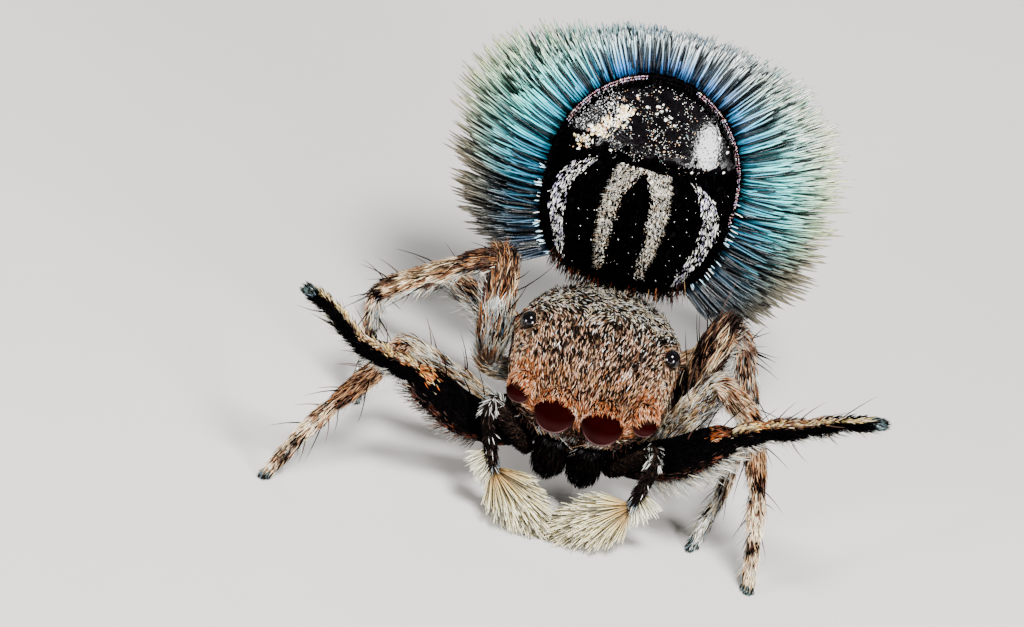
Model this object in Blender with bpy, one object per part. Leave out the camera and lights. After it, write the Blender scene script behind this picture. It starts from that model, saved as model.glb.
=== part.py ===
"""A life-size peacock spider in its courtship display, as separate closed solids.

The spider faces -Y and stands on the plane z = 0. Its own left is +X. All sizes
below are in millimetres, and the finished meshes are scaled to metres at the end.
"""

import math
import random

import bpy
import bmesh
from mathutils import Matrix, Vector

for old_object in list(bpy.data.objects):
    bpy.data.objects.remove(old_object, do_unlink=True)

MM = 0.001
GAP = 0.02                      # free space left between neighbouring solids
HALF_GAP = GAP / 2
SEED = 7
SHARP_ANGLE = math.radians(40)   # edges sharper than this stay crisp when shaded

# The head and thorax are tipped nose-down about the centre of the front eyes.
BODY_PITCH = math.radians(12)
FRONT_EYE_HEIGHT = 1.05
CARAPACE_HALF_WIDTH = 0.79

# The raised abdomen leans back a little from the vertical.
ABDOMEN_LEAN = math.radians(8)
PLATE_MIDDLE = Vector((-0.015, 1.98, 2.455))
PLATE_HALF_WIDTH = 0.88
PLATE_TOP_LENGTH = 1.08
PLATE_BOTTOM_LENGTH = 1.11
PLATE_BOTTOM_SQUARENESS = 2.8
PLATE_DOME = 0.27
ABDOMEN_DEPTH = 0.80

SPIDER_BLACK = (0.012, 0.010, 0.011)
COAT_BROWN = (0.32, 0.21, 0.13)
COAT_GREY = (0.36, 0.32, 0.26)
BRISTLE_BLUE = (0.13, 0.36, 0.45)
EYE_DARK = (0.02, 0.008, 0.012)
PALP_CREAM = (0.78, 0.72, 0.52)


def material(name, colour, roughness):
    """A plain finish with the part's own colour."""
    made = bpy.data.materials.new(name)
    made.use_nodes = True
    shader = made.node_tree.nodes["Principled BSDF"]
    shader.inputs["Base Color"].default_value = (*colour, 1.0)
    shader.inputs["Roughness"].default_value = roughness
    shader.inputs["Metallic"].default_value = 0.0
    return made


FINISHES = {
    "coat": material("coat", COAT_BROWN, 0.7),
    "leg_coat": material("leg_coat", COAT_GREY, 0.7),
    "shell": material("shell", SPIDER_BLACK, 0.2),
    "bristles": material("bristles", BRISTLE_BLUE, 0.35),
    "eye": material("eye", EYE_DARK, 0.05),
    "palp_hair": material("palp_hair", PALP_CREAM, 0.6),
}


# Mesh helpers

def object_from(name, bm, finish=None):
    """A linked object that holds the mesh made in bm."""
    bmesh.ops.recalc_face_normals(bm, faces=bm.faces)
    mesh = bpy.data.meshes.new(name)
    bm.to_mesh(mesh)
    bm.free()
    made = bpy.data.objects.new(name, mesh)
    bpy.context.scene.collection.objects.link(made)
    if finish:
        mesh.materials.append(FINISHES[finish])
    return made


def closed_loft(rings):
    """A bmesh skinned over rings of equal count, with both ends filled.

    A ring of one point makes a pointed end.
    """
    bm = bmesh.new()
    made = [[bm.verts.new(point) for point in ring] for ring in rings]
    for near, far in zip(made, made[1:]):
        count = max(len(near), len(far))
        for i in range(count):
            j = (i + 1) % count
            corners = [near[i % len(near)], near[j % len(near)], far[j % len(far)], far[i % len(far)]]
            unique = list(dict.fromkeys(corners))
            bm.faces.new(unique)
    for ring in (made[0], made[-1]):
        if len(ring) > 2:
            bm.faces.new(ring)
    bmesh.ops.triangulate(bm, faces=bm.faces)
    return bm


def grown_copy(source, distance):
    """A copy of an object whose surface lies that distance outside it."""
    bm = bmesh.new()
    bm.from_mesh(source.data)
    bm.normal_update()
    for vert in bm.verts:
        vert.co += vert.normal * distance
    return object_from(source.name + "_room", bm)


def apply_boolean(target, operation, operand, solver="EXACT"):
    """Changes target's mesh by one Boolean with an object or a collection."""
    modifier = target.modifiers.new("join", "BOOLEAN")
    modifier.operation = operation
    modifier.solver = solver
    if isinstance(operand, bpy.types.Collection):
        modifier.operand_type = "COLLECTION"
        modifier.collection = operand
    else:
        modifier.object = operand
    graph = bpy.context.evaluated_depsgraph_get()
    finished = bpy.data.meshes.new_from_object(target.evaluated_get(graph))
    target.modifiers.clear()
    target.data = finished
    keep_largest(target)


def keep_largest(target):
    """Keeps only the largest closed surface of an object's mesh."""
    bm = bmesh.new()
    bm.from_mesh(target.data)
    bmesh.ops.triangulate(bm, faces=bm.faces)
    waiting = set(bm.verts)
    shells = []
    while waiting:
        shell = set()
        edge_of_search = [waiting.pop()]
        while edge_of_search:
            vert = edge_of_search.pop()
            shell.add(vert)
            for edge in vert.link_edges:
                other = edge.other_vert(vert)
                if other in waiting:
                    waiting.remove(other)
                    edge_of_search.append(other)
        shells.append(shell)
    largest = max(shells, key=shell_volume)
    for shell in shells:
        if shell is not largest:
            bmesh.ops.delete(bm, geom=list(shell), context="VERTS")
    bm.to_mesh(target.data)
    bm.free()


def shell_volume(verts):
    """The volume inside one closed shell of triangles."""
    faces = {face for vert in verts for face in vert.link_faces}
    total = 0.0
    for face in faces:
        a, b, c = (vert.co for vert in face.verts)
        total += a.dot(b.cross(c)) / 6
    return abs(total)


def cut_clear(target, rooms):
    """Cuts away whatever part of target lies in the room that each neighbour needs."""
    for room in rooms:
        apply_boolean(target, "DIFFERENCE", room)


def rooms_for(nodes):
    """The room each plain form needs, its surface grown by the gap."""
    return [grown_copy(node, GAP) for node in nodes]


def join_into(target, pieces):
    """Fuses closed pieces into target by one Boolean union and removes them."""
    group = bpy.data.collections.new(target.name + "_pieces")
    bpy.context.scene.collection.children.link(group)
    for piece in pieces:
        bpy.context.scene.collection.objects.unlink(piece)
        group.objects.link(piece)
    apply_boolean(target, "UNION", group)
    for piece in pieces:
        bpy.data.objects.remove(piece, do_unlink=True)
    bpy.data.collections.remove(group)


def ramp(stops, at):
    """The value at one place between (place, value) stops, eased at each stop."""
    if at <= stops[0][0]:
        return stops[0][1]
    for (low, a), (high, b) in zip(stops, stops[1:]):
        if at <= high:
            share = (at - low) / (high - low)
            return a + (b - a) * share * share * (3 - 2 * share)
    return stops[-1][1]


def line_ramp(stops, at):
    """The value at one place between (place, value) stops, in straight runs."""
    if at <= stops[0][0]:
        return stops[0][1]
    for (low, a), (high, b) in zip(stops, stops[1:]):
        if at <= high:
            return a + (b - a) * (at - low) / (high - low)
    return stops[-1][1]


# The body's own frame: back along the body, and up from the front eyes

def body_point(x, back, up):
    """A place in the model from its place in the tipped body."""
    y = back * math.cos(BODY_PITCH) - up * math.sin(BODY_PITCH)
    z = FRONT_EYE_HEIGHT + back * math.sin(BODY_PITCH) + up * math.cos(BODY_PITCH)
    return Vector((x, y, z))


# Carapace: square-shouldered head in front, rounded and sloping behind

CARAPACE_SIDES = 26
WIDEST_SHARE = 0.42             # how far up from the underside each section is widest
CARAPACE_STATIONS = (0.0, 0.05, 0.14, 0.28, 0.46, 0.66, 0.88, 1.10, 1.30, 1.50, 1.68, 1.82, 1.91, 1.95)
CARAPACE_WIDTH = [(0.0, 0.46), (0.14, 0.65), (0.28, 0.71), (0.55, 0.77), (0.9, CARAPACE_HALF_WIDTH),
                  (1.2, 0.76), (1.5, 0.65), (1.75, 0.47), (1.9, 0.30), (1.95, 0.20)]
CARAPACE_TOP = [(0.0, 0.13), (0.05, 0.19), (0.2, 0.25), (0.55, 0.32), (0.9, 0.34), (1.15, 0.30),
                (1.45, 0.15), (1.75, -0.06), (1.95, -0.20)]
CARAPACE_BOTTOM = [(0.0, -0.22), (0.05, -0.25), (0.4, -0.31), (1.0, -0.34), (1.6, -0.36),
                   (1.95, -0.33)]
CARAPACE_SQUARENESS = [(0.0, 3.2), (0.5, 3.0), (1.0, 2.6), (1.6, 2.1), (1.95, 2.0)]


def carapace_section(back):
    """The points round the carapace at one place along the body."""
    width = line_ramp(CARAPACE_WIDTH, back)
    top = line_ramp(CARAPACE_TOP, back)
    bottom = line_ramp(CARAPACE_BOTTOM, back)
    power = 2 / line_ramp(CARAPACE_SQUARENESS, back)
    middle = bottom + (top - bottom) * WIDEST_SHARE
    points = []
    for i in range(CARAPACE_SIDES):
        turn = 2 * math.pi * i / CARAPACE_SIDES
        across, rise = math.cos(turn), math.sin(turn)
        x = width * math.copysign(abs(across) ** power, across)
        reach = (top - middle) if rise > 0 else (middle - bottom)
        up = middle + reach * math.copysign(abs(rise) ** power, rise)
        points.append(body_point(x, back, up))
    return points


def make_carapace():
    """The shield over the head and thorax."""
    sections = [carapace_section(back) for back in CARAPACE_STATIONS]
    return object_from("carapace", closed_loft(sections), "coat")


# Eyes: four in front, two tiny ones and two rear ones on the shoulders

EYES = {
    "eye_front_middle": (0.2236, 0.027, 0.029, 0.192),
    "eye_front_side": (0.588, 0.150, 0.065, 0.125),
    "eye_small": (0.670, 0.555, 0.197, 0.034),
    "eye_rear": (0.667, 0.866, 0.217, 0.088),
}
TINY_EYE = 0.05                 # eyes smaller than this need fewer facets


def make_eye(name, side, shape):
    """One eye, a ball set into the carapace."""
    across, back, up, radius = shape
    rings = 2 if radius > TINY_EYE else 1
    bm = bmesh.new()
    bmesh.ops.create_icosphere(bm, subdivisions=rings, radius=radius)
    bmesh.ops.translate(bm, verts=bm.verts, vec=body_point(side * across, back, up))
    return object_from(name, bm, "eye")


def make_eyes():
    """All eight eyes by name."""
    made = []
    for name, shape in EYES.items():
        for side, word in ((1, "left"), (-1, "right")):
            made.append(make_eye(f"{name}_{word}", side, shape))
    return made


# Sternum and mouth: the plate between the leg bases, and the jaws

STERNUM_STATIONS = (0.22, 0.30, 0.50, 0.75, 1.00, 1.22, 1.34)
STERNUM_WIDTH = [(0.22, 0.12), (0.30, 0.22), (0.55, 0.33), (0.85, 0.35), (1.1, 0.28), (1.34, 0.12)]
STERNUM_TOP = [(0.22, -0.38), (1.34, -0.405)]
STERNUM_BOTTOM = [(0.22, -0.55), (0.45, -0.62), (0.9, -0.65), (1.34, -0.56)]
STERNUM_SIDES = 14


def make_sternum():
    """The underside of the thorax, which carries the legs."""
    rings = []
    for back in STERNUM_STATIONS:
        width = ramp(STERNUM_WIDTH, back)
        top = line_ramp(STERNUM_TOP, back)
        bottom = ramp(STERNUM_BOTTOM, back)
        middle, half = (top + bottom) / 2, (top - bottom) / 2
        rings.append([
            body_point(width * math.cos(t), back, middle + half * math.sin(t))
            for t in (2 * math.pi * i / STERNUM_SIDES for i in range(STERNUM_SIDES))
        ])
    return object_from("sternum", closed_loft(rings), "shell")


JAW_MIDDLE = 0.165
JAW_TOP = 0.775
JAW_TIP = 0.335
JAW_SET_BACK = 0.11             # behind the centre of the front eyes
JAW_SLANT = 0.03                # how much further back the tip lies
JAW_SIDES = 12

# Each ring of a jaw: share of its height from the top, half width, half depth.
JAW_RINGS = ((0.0, 0.13, 0.10), (0.12, 0.15, 0.125), (0.5, 0.154, 0.135), (0.8, 0.138, 0.12),
             (0.95, 0.10, 0.085), (1.0, 0.055, 0.05))


def make_jaw(name, side):
    """One chelicera, a stout rounded block below the front eyes with its fang folded in."""
    rings = []
    for share, half_width, half_depth in JAW_RINGS:
        z = JAW_TOP + (JAW_TIP - JAW_TOP) * share
        y = JAW_SET_BACK + JAW_SLANT * share
        rings.append([
            Vector((side * JAW_MIDDLE + half_width * math.cos(t), y + half_depth * math.sin(t), z))
            for t in (2 * math.pi * i / JAW_SIDES for i in range(JAW_SIDES))
        ])
    return object_from(name, closed_loft(rings), "shell")


# Limbs: rings along a bent line, swollen and pinched as real articles are

TALLNESS = 1.12                 # limbs are this much deeper, and as much narrower, than round


def limb_rings(joints, profiles, sides, start_trim=0.0, end_trim=0.0, on_floor=False):
    """Rings of points along a chain of joints.

    Each profile lists (share of the article, radius). Rings at a shared joint lie
    in the plane that halves the bend. The trims shorten the two ends.
    """
    joints = [Vector(j) for j in joints]
    along = [(b - a).normalized() for a, b in zip(joints, joints[1:])]
    stations = []
    for i, profile in enumerate(profiles):
        start, end = joints[i], joints[i + 1]
        for share, radius in profile:
            facing = along[i]
            if share == 0 and i > 0:
                continue
            if share == 1 and i + 1 < len(along):
                facing = (along[i] + along[i + 1]).normalized()
            stations.append([start.lerp(end, share), facing, radius])
    stations[0][0] = stations[0][0] + along[0] * start_trim
    stations[-1][0] = stations[-1][0] - along[-1] * end_trim
    side_way = along[0].cross(Vector((0, 0, 1))).normalized()
    rings = []
    for centre, facing, radius in stations:
        side_way = (side_way - facing * side_way.dot(facing)).normalized()
        up_way = side_way.cross(facing).normalized()
        ring = []
        for k in range(sides):
            turn = 2 * math.pi * (k + 0.5) / sides
            across = side_way * (radius / TALLNESS * math.cos(turn))
            ring.append(centre + across + up_way * (radius * TALLNESS * math.sin(turn)))
        rings.append(ring)
    if on_floor:
        last = along[-1]
        rings[-1] = [p - last * (p.z / last.z) for p in rings[-1]]
    return rings


LEG_SIDES = 9

# The widest radius of each article: femur, patella, tibia, metatarsus, tarsus.
LEG_RADII = {
    1: (0.195, 0.118, 0.106, 0.086, 0.076),
    2: (0.150, 0.120, 0.110, 0.090, 0.078),
    3: (0.152, 0.115, 0.105, 0.078, 0.068),
    4: (0.140, 0.114, 0.100, 0.075, 0.066),
}

# How far the middle of each femur sags below the line between its ends.
FEMUR_SAG = {1: 0.085, 2: 0.05, 3: 0.0, 4: 0.0}

# Joints of each leg: base, trochanter, knee, patella end, tibia end, metatarsus end, tip.
LEG_JOINTS = {
    (1, "left"): ((0.28, 0.44, 0.63), (0.53, 0.22, 0.59), (1.40, -0.05, 1.385), (1.665, -0.16, 1.635),
                  (2.012, -0.315, 1.89), (2.30, -0.452, 2.142), (2.644, -0.526, 2.30)),
    (1, "right"): ((-0.28, 0.44, 0.63), (-0.62, 0.20, 0.575), (-1.556, -0.12, 1.19), (-1.78, -0.33, 1.40),
                   (-2.113, -0.555, 1.655), (-2.44, -0.60, 1.985), (-2.667, -0.645, 2.129)),
    (2, "left"): ((0.30, 0.70, 0.69), (0.74, 0.54, 0.60), (1.14, 0.43, 1.585), (1.519, 0.252, 1.43),
                  (1.733, -0.08, 0.93), (1.83, -0.173, 0.44), (1.895, -0.369, 0.0)),
    (2, "right"): ((-0.30, 0.70, 0.69), (-0.78, 0.53, 0.60), (-1.685, 0.405, 1.09), (-1.835, 0.16, 0.99),
                   (-2.165, -0.20, 0.69), (-2.40, -0.45, 0.41), (-2.617, -0.646, 0.0)),
    (3, "left"): ((0.30, 0.98, 0.75), (0.88, 1.02, 0.69), (1.076, 1.10, 1.77), (1.269, 1.20, 1.545),
                  (1.483, 0.88, 1.075), (1.44, 0.40, 0.42), (1.30, 0.04, 0.0)),
    (3, "right"): ((-0.30, 0.98, 0.75), (-0.93, 1.01, 0.69), (-1.03, 1.09, 1.86), (-1.373, 1.10, 1.645),
                   (-2.08, 1.0, 1.151), (-2.03, 0.93, 0.52), (-2.02, 0.86, 0.0)),
    (4, "left"): ((0.24, 1.24, 0.81), (0.60, 1.42, 0.78), (1.16, 2.00, 0.86), (1.25, 2.34, 0.72),
                  (1.34, 2.68, 0.48), (1.39, 2.88, 0.26), (1.41, 3.00, 0.0)),
    (4, "right"): ((-0.24, 1.24, 0.81), (-0.60, 1.42, 0.78), (-1.49, 1.70, 1.04), (-1.80, 1.86, 0.80),
                   (-2.05, 2.10, 0.42), (-2.10, 2.32, 0.20), (-2.07, 2.45, 0.0)),
}


def article(radius, start, end):
    """The profile of one article: pinched at both joints, fullest near its middle."""
    return [(0.0, radius * start), (0.12, radius * 0.9), (0.45, radius), (0.8, radius * 0.93),
            (1.0, radius * end)]


# The radius of each coxa as a share of the femur's: the first pair's are hidden by the palps.
COXA_SHARE = {1: 0.72, 2: 0.80, 3: 0.80, 4: 0.80}


def thigh_profiles(number):
    """The coxa, then the near and far halves of the femur."""
    femur, patella = LEG_RADII[number][:2]
    coxa = femur * COXA_SHARE[number]
    return ([(0.0, coxa * 0.85), (0.4, coxa), (1.0, coxa * 0.9)],
            [(0.25, femur * 0.82), (0.6, femur * 0.97), (1.0, femur)],
            [(0.5, femur * 0.94), (0.8, femur * 0.85), (1.0, patella * 0.86)])


def shin_profiles(number):
    """The patella and the tibia."""
    patella, tibia = LEG_RADII[number][1:3]
    return article(patella, 0.86, 0.8), article(tibia, 0.86, 0.72)


def foot_profiles(number):
    """The metatarsus and the tarsus, which ends blunt."""
    metatarsus, tarsus = LEG_RADII[number][3:]
    return (article(metatarsus, 0.98, 0.85),
            [(0.12, tarsus * 0.95), (0.5, tarsus), (0.82, tarsus * 0.9), (1.0, tarsus * 0.62)])


def make_leg(number, side, rooms):
    """One leg as three solids: thigh with its base, shin, and foot."""
    base, trochanter, knee, patella_end, tibia_end, metatarsus_end, tip = LEG_JOINTS[number, side]
    sag = Vector((0, 0, FEMUR_SAG[number]))
    middle = Vector(trochanter).lerp(Vector(knee), 0.5) - sag
    name = f"leg{number}_{side}"
    finish = "shell" if number == 1 else "leg_coat"
    thigh_rings = limb_rings((base, trochanter, middle, knee), thigh_profiles(number), LEG_SIDES,
                             end_trim=HALF_GAP)
    thigh = object_from(f"{name}_thigh", closed_loft(thigh_rings), finish)
    cut_clear(thigh, rooms)
    shin_rings = limb_rings((knee, patella_end, tibia_end), shin_profiles(number), LEG_SIDES,
                            start_trim=HALF_GAP, end_trim=HALF_GAP)
    shin = object_from(f"{name}_shin", closed_loft(shin_rings), finish)
    foot_rings = limb_rings((tibia_end, metatarsus_end, tip), foot_profiles(number), LEG_SIDES,
                            start_trim=HALF_GAP, on_floor=number != 1)
    foot = object_from(f"{name}_foot", closed_loft(foot_rings), finish)
    return [thigh, shin, foot]


# Palps: a dark arm on each side, and a brush of cream hair turned inwards

# Joints of each palp: base, middle of the femur, both ends of the elbow, wrist, tip of the core.
# The arm rises beside the head to its elbow and comes down again in front of it.
PALP_JOINTS = {
    "left": ((0.36, 0.24, 0.45), (0.54, 0.04, 0.72), (0.74, -0.02, 1.00), (0.77, -0.18, 0.92),
             (0.68, -0.23, 0.47), (0.15, -0.30, 0.12)),
    "right": ((-0.36, 0.24, 0.45), (-0.54, 0.04, 0.74), (-0.78, 0.03, 1.04), (-0.82, -0.14, 0.98),
              (-0.63, -0.23, 0.47), (-0.15, -0.30, 0.12)),
}
PALP_SIDES = 9
PALP_ARM_RADIUS = 0.085
PALP_ARM_PROFILES = ([(0.0, PALP_ARM_RADIUS * 0.8), (0.5, PALP_ARM_RADIUS), (1.0, PALP_ARM_RADIUS)],
                     [(0.5, PALP_ARM_RADIUS * 0.98), (1.0, PALP_ARM_RADIUS * 0.9)],
                     [(1.0, PALP_ARM_RADIUS * 0.9)],
                     [(0.5, PALP_ARM_RADIUS * 0.88), (1.0, PALP_ARM_RADIUS * 0.8)])
PALP_BULB_RADIUS = 0.105
PALP_BULB_PROFILE = [(0.0, PALP_BULB_RADIUS * 0.7), (0.15, PALP_BULB_RADIUS),
                     (0.5, PALP_BULB_RADIUS * 0.95), (0.85, PALP_BULB_RADIUS * 0.6),
                     (1.0, PALP_BULB_RADIUS * 0.3)]
PALP_LOCK_LENGTH = 0.36
PALP_LOCK_HALF_WIDTH = 0.048
PALP_LOCK_HALF_THICK = 0.022
PALP_LOCK_CURL = 0.03
PALP_LOCK_ROWS = 4
PALP_LOCKS_A_ROW = 9
FIRST_LOCK_ROW = 0.12           # the rows' places as shares of the core's length
LOCK_ROW_STEP = 0.20
FIRST_LOCK_SPLAY = 0.55         # each row lies closer to the core than the one before
LOCK_SPLAY_STEP = 0.10
OUTER_TUFT_LOCKS = 7
OUTER_TUFT_LENGTH = 0.27
OUTER_TUFT_HALF_WIDTH = 0.036
OUTER_TUFT_HALF_THICK = 0.02
OUTER_TUFT_TOP = math.radians(8)        # the fan's first and last locks, below the level
OUTER_TUFT_SWEEP = math.radians(78)
LOWEST_TIP = 0.03


def make_quill(root, tip, bend, half_width, half_thick, flat_way):
    """A tapered closed lock or bristle with one bend, flat across flat_way."""
    along = (tip - root).normalized()
    across = (flat_way - along * flat_way.dot(along)).normalized()
    thick = along.cross(across)
    rings = []
    for share, size, lift in ((0.0, 1.0, 0.0), (0.35, 0.92, 0.75), (0.72, 0.62, 0.85)):
        centre = root.lerp(tip, share) + bend * lift
        rings.append([
            centre + across * (half_width * size * a) + thick * (half_thick * size * b)
            for a, b in ((1, 0), (0, 1), (-1, 0), (0, -1))
        ])
    rings.append([tip])
    return object_from("quill", closed_loft(rings))


def brush_locks(wrist, tip, draw):
    """Rows of locks along the core, fanned towards its tip."""
    along = (tip - wrist).normalized()
    side_way = along.cross(Vector((0, -1, 0))).normalized()
    up_way = side_way.cross(along)
    locks = []
    for row in range(PALP_LOCK_ROWS):
        share = FIRST_LOCK_ROW + LOCK_ROW_STEP * row
        for k in range(PALP_LOCKS_A_ROW):
            turn = 2 * math.pi * (k + 0.5 * (row % 2)) / PALP_LOCKS_A_ROW
            out = side_way * math.cos(turn) + up_way * math.sin(turn)
            root = wrist.lerp(tip, share) + out * PALP_BULB_RADIUS * 0.35
            splay = FIRST_LOCK_SPLAY - LOCK_SPLAY_STEP * row + draw.uniform(-0.04, 0.04)
            length = PALP_LOCK_LENGTH * draw.uniform(0.9, 1.1)
            end = root + (along + out * splay).normalized() * length
            end.z = max(end.z, LOWEST_TIP)
            locks.append(make_quill(root, end, out * PALP_LOCK_CURL, PALP_LOCK_HALF_WIDTH,
                                    PALP_LOCK_HALF_THICK, along.cross(out)))
    return locks


def outer_tuft_locks(wrist, tip, draw):
    """The fan of shorter locks that hangs outside the wrist."""
    outward = Vector((math.copysign(1.0, wrist.x), 0.0, 0.0))
    root = wrist.lerp(tip, 0.10) + outward * PALP_BULB_RADIUS * 0.3
    locks = []
    for k in range(OUTER_TUFT_LOCKS):
        fall = -OUTER_TUFT_TOP - OUTER_TUFT_SWEEP * k / (OUTER_TUFT_LOCKS - 1)
        way = outward * math.cos(fall) + Vector((0, -0.15 - 0.1 * (k % 2), math.sin(fall)))
        end = root + way.normalized() * OUTER_TUFT_LENGTH * draw.uniform(0.9, 1.1)
        locks.append(make_quill(root, end, Vector((0, 0, 0.02)), OUTER_TUFT_HALF_WIDTH,
                                OUTER_TUFT_HALF_THICK, Vector((0, 1, 0))))
    return locks


def make_palp(side, rooms):
    """One palp as an arm and a brush."""
    *joints, wrist, tip = (Vector(p) for p in PALP_JOINTS[side])
    arm_rings = limb_rings((*joints, wrist), PALP_ARM_PROFILES, PALP_SIDES, end_trim=HALF_GAP)
    arm = object_from(f"palp_{side}_arm", closed_loft(arm_rings), "shell")
    cut_clear(arm, rooms)
    core_rings = limb_rings((wrist, tip), (PALP_BULB_PROFILE,), PALP_SIDES, start_trim=HALF_GAP)
    brush = object_from(f"palp_{side}_brush", closed_loft(core_rings), "palp_hair")
    draw = random.Random(SEED)
    join_into(brush, brush_locks(wrist, tip, draw) + outer_tuft_locks(wrist, tip, draw))
    return [arm, brush]


# Abdomen: a domed plate in front, flanks that carry the bristles behind it

ABDOMEN_UP = Vector((0.0, math.sin(ABDOMEN_LEAN), math.cos(ABDOMEN_LEAN)))
ABDOMEN_OUT = Vector((0.0, -math.cos(ABDOMEN_LEAN), math.sin(ABDOMEN_LEAN)))
ACROSS = Vector((1.0, 0.0, 0.0))
ABDOMEN_SIDES = 40
PLATE_RIM_SIZE = 0.985          # the plate's flat back, against its edge
PLATE_RIM_STEP = 0.015
PLATE_RING_SIZES = (0.99, 0.95, 0.86, 0.72, 0.54, 0.34, 0.14)
DOME_POWER = 2.3
FLANK_SWELL = 1.03              # the flanks just behind the plate, against its edge
FLANK_DEPTHS = (0.12, 0.26, 0.42, 0.56, 0.67, 0.74, 0.78)


def rim_point(turn):
    """The plate's edge as (across, along): rounded above, broad and square-cornered below."""
    across, along = math.cos(turn), math.sin(turn)
    if along >= 0:
        return PLATE_HALF_WIDTH * across, PLATE_TOP_LENGTH * along
    power = 2 / PLATE_BOTTOM_SQUARENESS
    wide = math.copysign(abs(across) ** power, across)
    return PLATE_HALF_WIDTH * wide, -PLATE_BOTTOM_LENGTH * abs(along) ** power


def abdomen_point(turn, size, depth):
    """A place on the abdomen: size scales the plate's edge, depth is behind its plane."""
    across, along = rim_point(turn)
    return PLATE_MIDDLE + ACROSS * (across * size) + ABDOMEN_UP * (along * size) - ABDOMEN_OUT * depth


def ring_at(size, depth):
    """One ring of the abdomen."""
    return [abdomen_point(2 * math.pi * i / ABDOMEN_SIDES, size, depth) for i in range(ABDOMEN_SIDES)]


def flank_size(depth):
    """How wide the flanks are at a depth behind the plate, against the plate's edge."""
    share = depth / ABDOMEN_DEPTH
    return FLANK_SWELL * (1 - share ** 2.6) ** (1 / 2.2)


def make_plate():
    """The glossy domed plate that the display shows."""
    rings = [ring_at(PLATE_RIM_SIZE, 0.0)]
    for size in PLATE_RING_SIZES:
        rings.append(ring_at(size, -PLATE_DOME * (1 - size ** DOME_POWER) - PLATE_RIM_STEP))
    return object_from("abdomen_plate", closed_loft(rings), "shell")


# Each row of the fringe: depth behind the plate, forward lean, share of the reach, count.
BRISTLE_ROWS = (
    (0.05, 0.36, 0.62, 38),
    (0.15, 0.12, 0.84, 42),
    (0.27, -0.12, 1.0, 42),
    (0.41, -0.40, 0.98, 38),
)
BRISTLE_GAP_TURN = math.radians(38)      # none grow this close to the waist
BRISTLE_HALF_WIDTH = 0.048
BRISTLE_HALF_THICK = 0.022
BRISTLE_SINK = 0.08
BRISTLE_DROOP = 0.05            # how far the middle of a level bristle hangs
BRISTLE_CURL = 0.03             # how far the middle bows forwards
LOWER_SPREAD = 0.4              # below the middle they stay this much closer to level

# How far the fringe reaches past the plate's edge: degrees anticlockwise from +X, reach.
FRINGE_REACH = ((-60, 0.62), (-45, 0.84), (-25, 1.0), (0, 0.93), (30, 0.80), (60, 0.55), (90, 0.42),
                (120, 0.48), (140, 0.62), (160, 0.88), (180, 1.0), (215, 0.86), (240, 0.66))
TOP_SHORTENING = 0.45                    # rows further back start higher above the plate


def bristle_length(turn, depth, share):
    """The length of a bristle from its place round the plate and its row."""
    reach = line_ramp(FRINGE_REACH, math.degrees(turn))
    return share * reach - TOP_SHORTENING * depth * max(0.0, math.sin(turn))


def bristle_aim(turn):
    """The direction in the plate's plane of a bristle that is rooted at one turn."""
    aim = turn
    if math.sin(turn) < 0:
        level = 0.0 if math.cos(turn) > 0 else math.pi
        aim = level + (turn - level) * LOWER_SPREAD
    return (ACROSS * math.cos(aim) + ABDOMEN_UP * math.sin(aim)).normalized()


def make_bristles():
    """The fringe of stiff bristles all round the flanks."""
    draw = random.Random(SEED)
    made = []
    for depth, lean, share, count in BRISTLE_ROWS:
        size = flank_size(depth)
        for i in range(count):
            turn = -math.pi / 2 + BRISTLE_GAP_TURN
            turn += (2 * math.pi - 2 * BRISTLE_GAP_TURN) * (i + 0.5 + draw.uniform(-0.2, 0.2)) / count
            root = abdomen_point(turn, size, depth)
            out = bristle_aim(turn)
            way = (out * math.cos(lean) + ABDOMEN_OUT * math.sin(lean)).normalized()
            reach = bristle_length(turn, depth, share) * draw.uniform(0.93, 1.07)
            bend = ABDOMEN_OUT * BRISTLE_CURL - ABDOMEN_UP * (BRISTLE_DROOP * math.cos(turn) ** 2)
            made.append(make_quill(root - way * BRISTLE_SINK, root + way * reach, bend,
                                   BRISTLE_HALF_WIDTH, BRISTLE_HALF_THICK, out.cross(ABDOMEN_OUT)))
    return made


def make_abdomen():
    """The flanks and underside, still without their fringe."""
    rings = [ring_at(0.93, GAP), ring_at(0.99, 2 * GAP)]
    for depth in FLANK_DEPTHS:
        rings.append(ring_at(flank_size(depth), depth))
    return object_from("abdomen", closed_loft(rings), "bristles")


WAIST_RADIUS = 0.12
WAIST_SIDES = 10
WAIST_PROFILES = ([(0.0, WAIST_RADIUS), (0.5, WAIST_RADIUS), (1.0, WAIST_RADIUS)],
                  [(0.5, WAIST_RADIUS), (1.0, WAIST_RADIUS)])


def make_waist(rooms):
    """The narrow waist between thorax and abdomen."""
    low = body_point(0.0, 1.86, -0.27)
    high = PLATE_MIDDLE - ABDOMEN_UP * 0.88 - ABDOMEN_OUT * 0.26
    middle = low.lerp(high, 0.45) + Vector((0.0, 0.03, -0.02))
    waist = object_from("waist", closed_loft(limb_rings((low, middle, high), WAIST_PROFILES, WAIST_SIDES)),
                        "shell")
    cut_clear(waist, rooms)
    return waist


SPINNERET_LENGTH = 0.20
SPINNERET_ROOT = 0.10           # the length that starts inside the flank and is cut clear of it
SPINNERET_PROFILE = [(0.0, 0.10), (0.5, 0.10), (0.8, 0.075), (1.0, 0.035)]
SPINNERET_SIDES = 10


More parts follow.
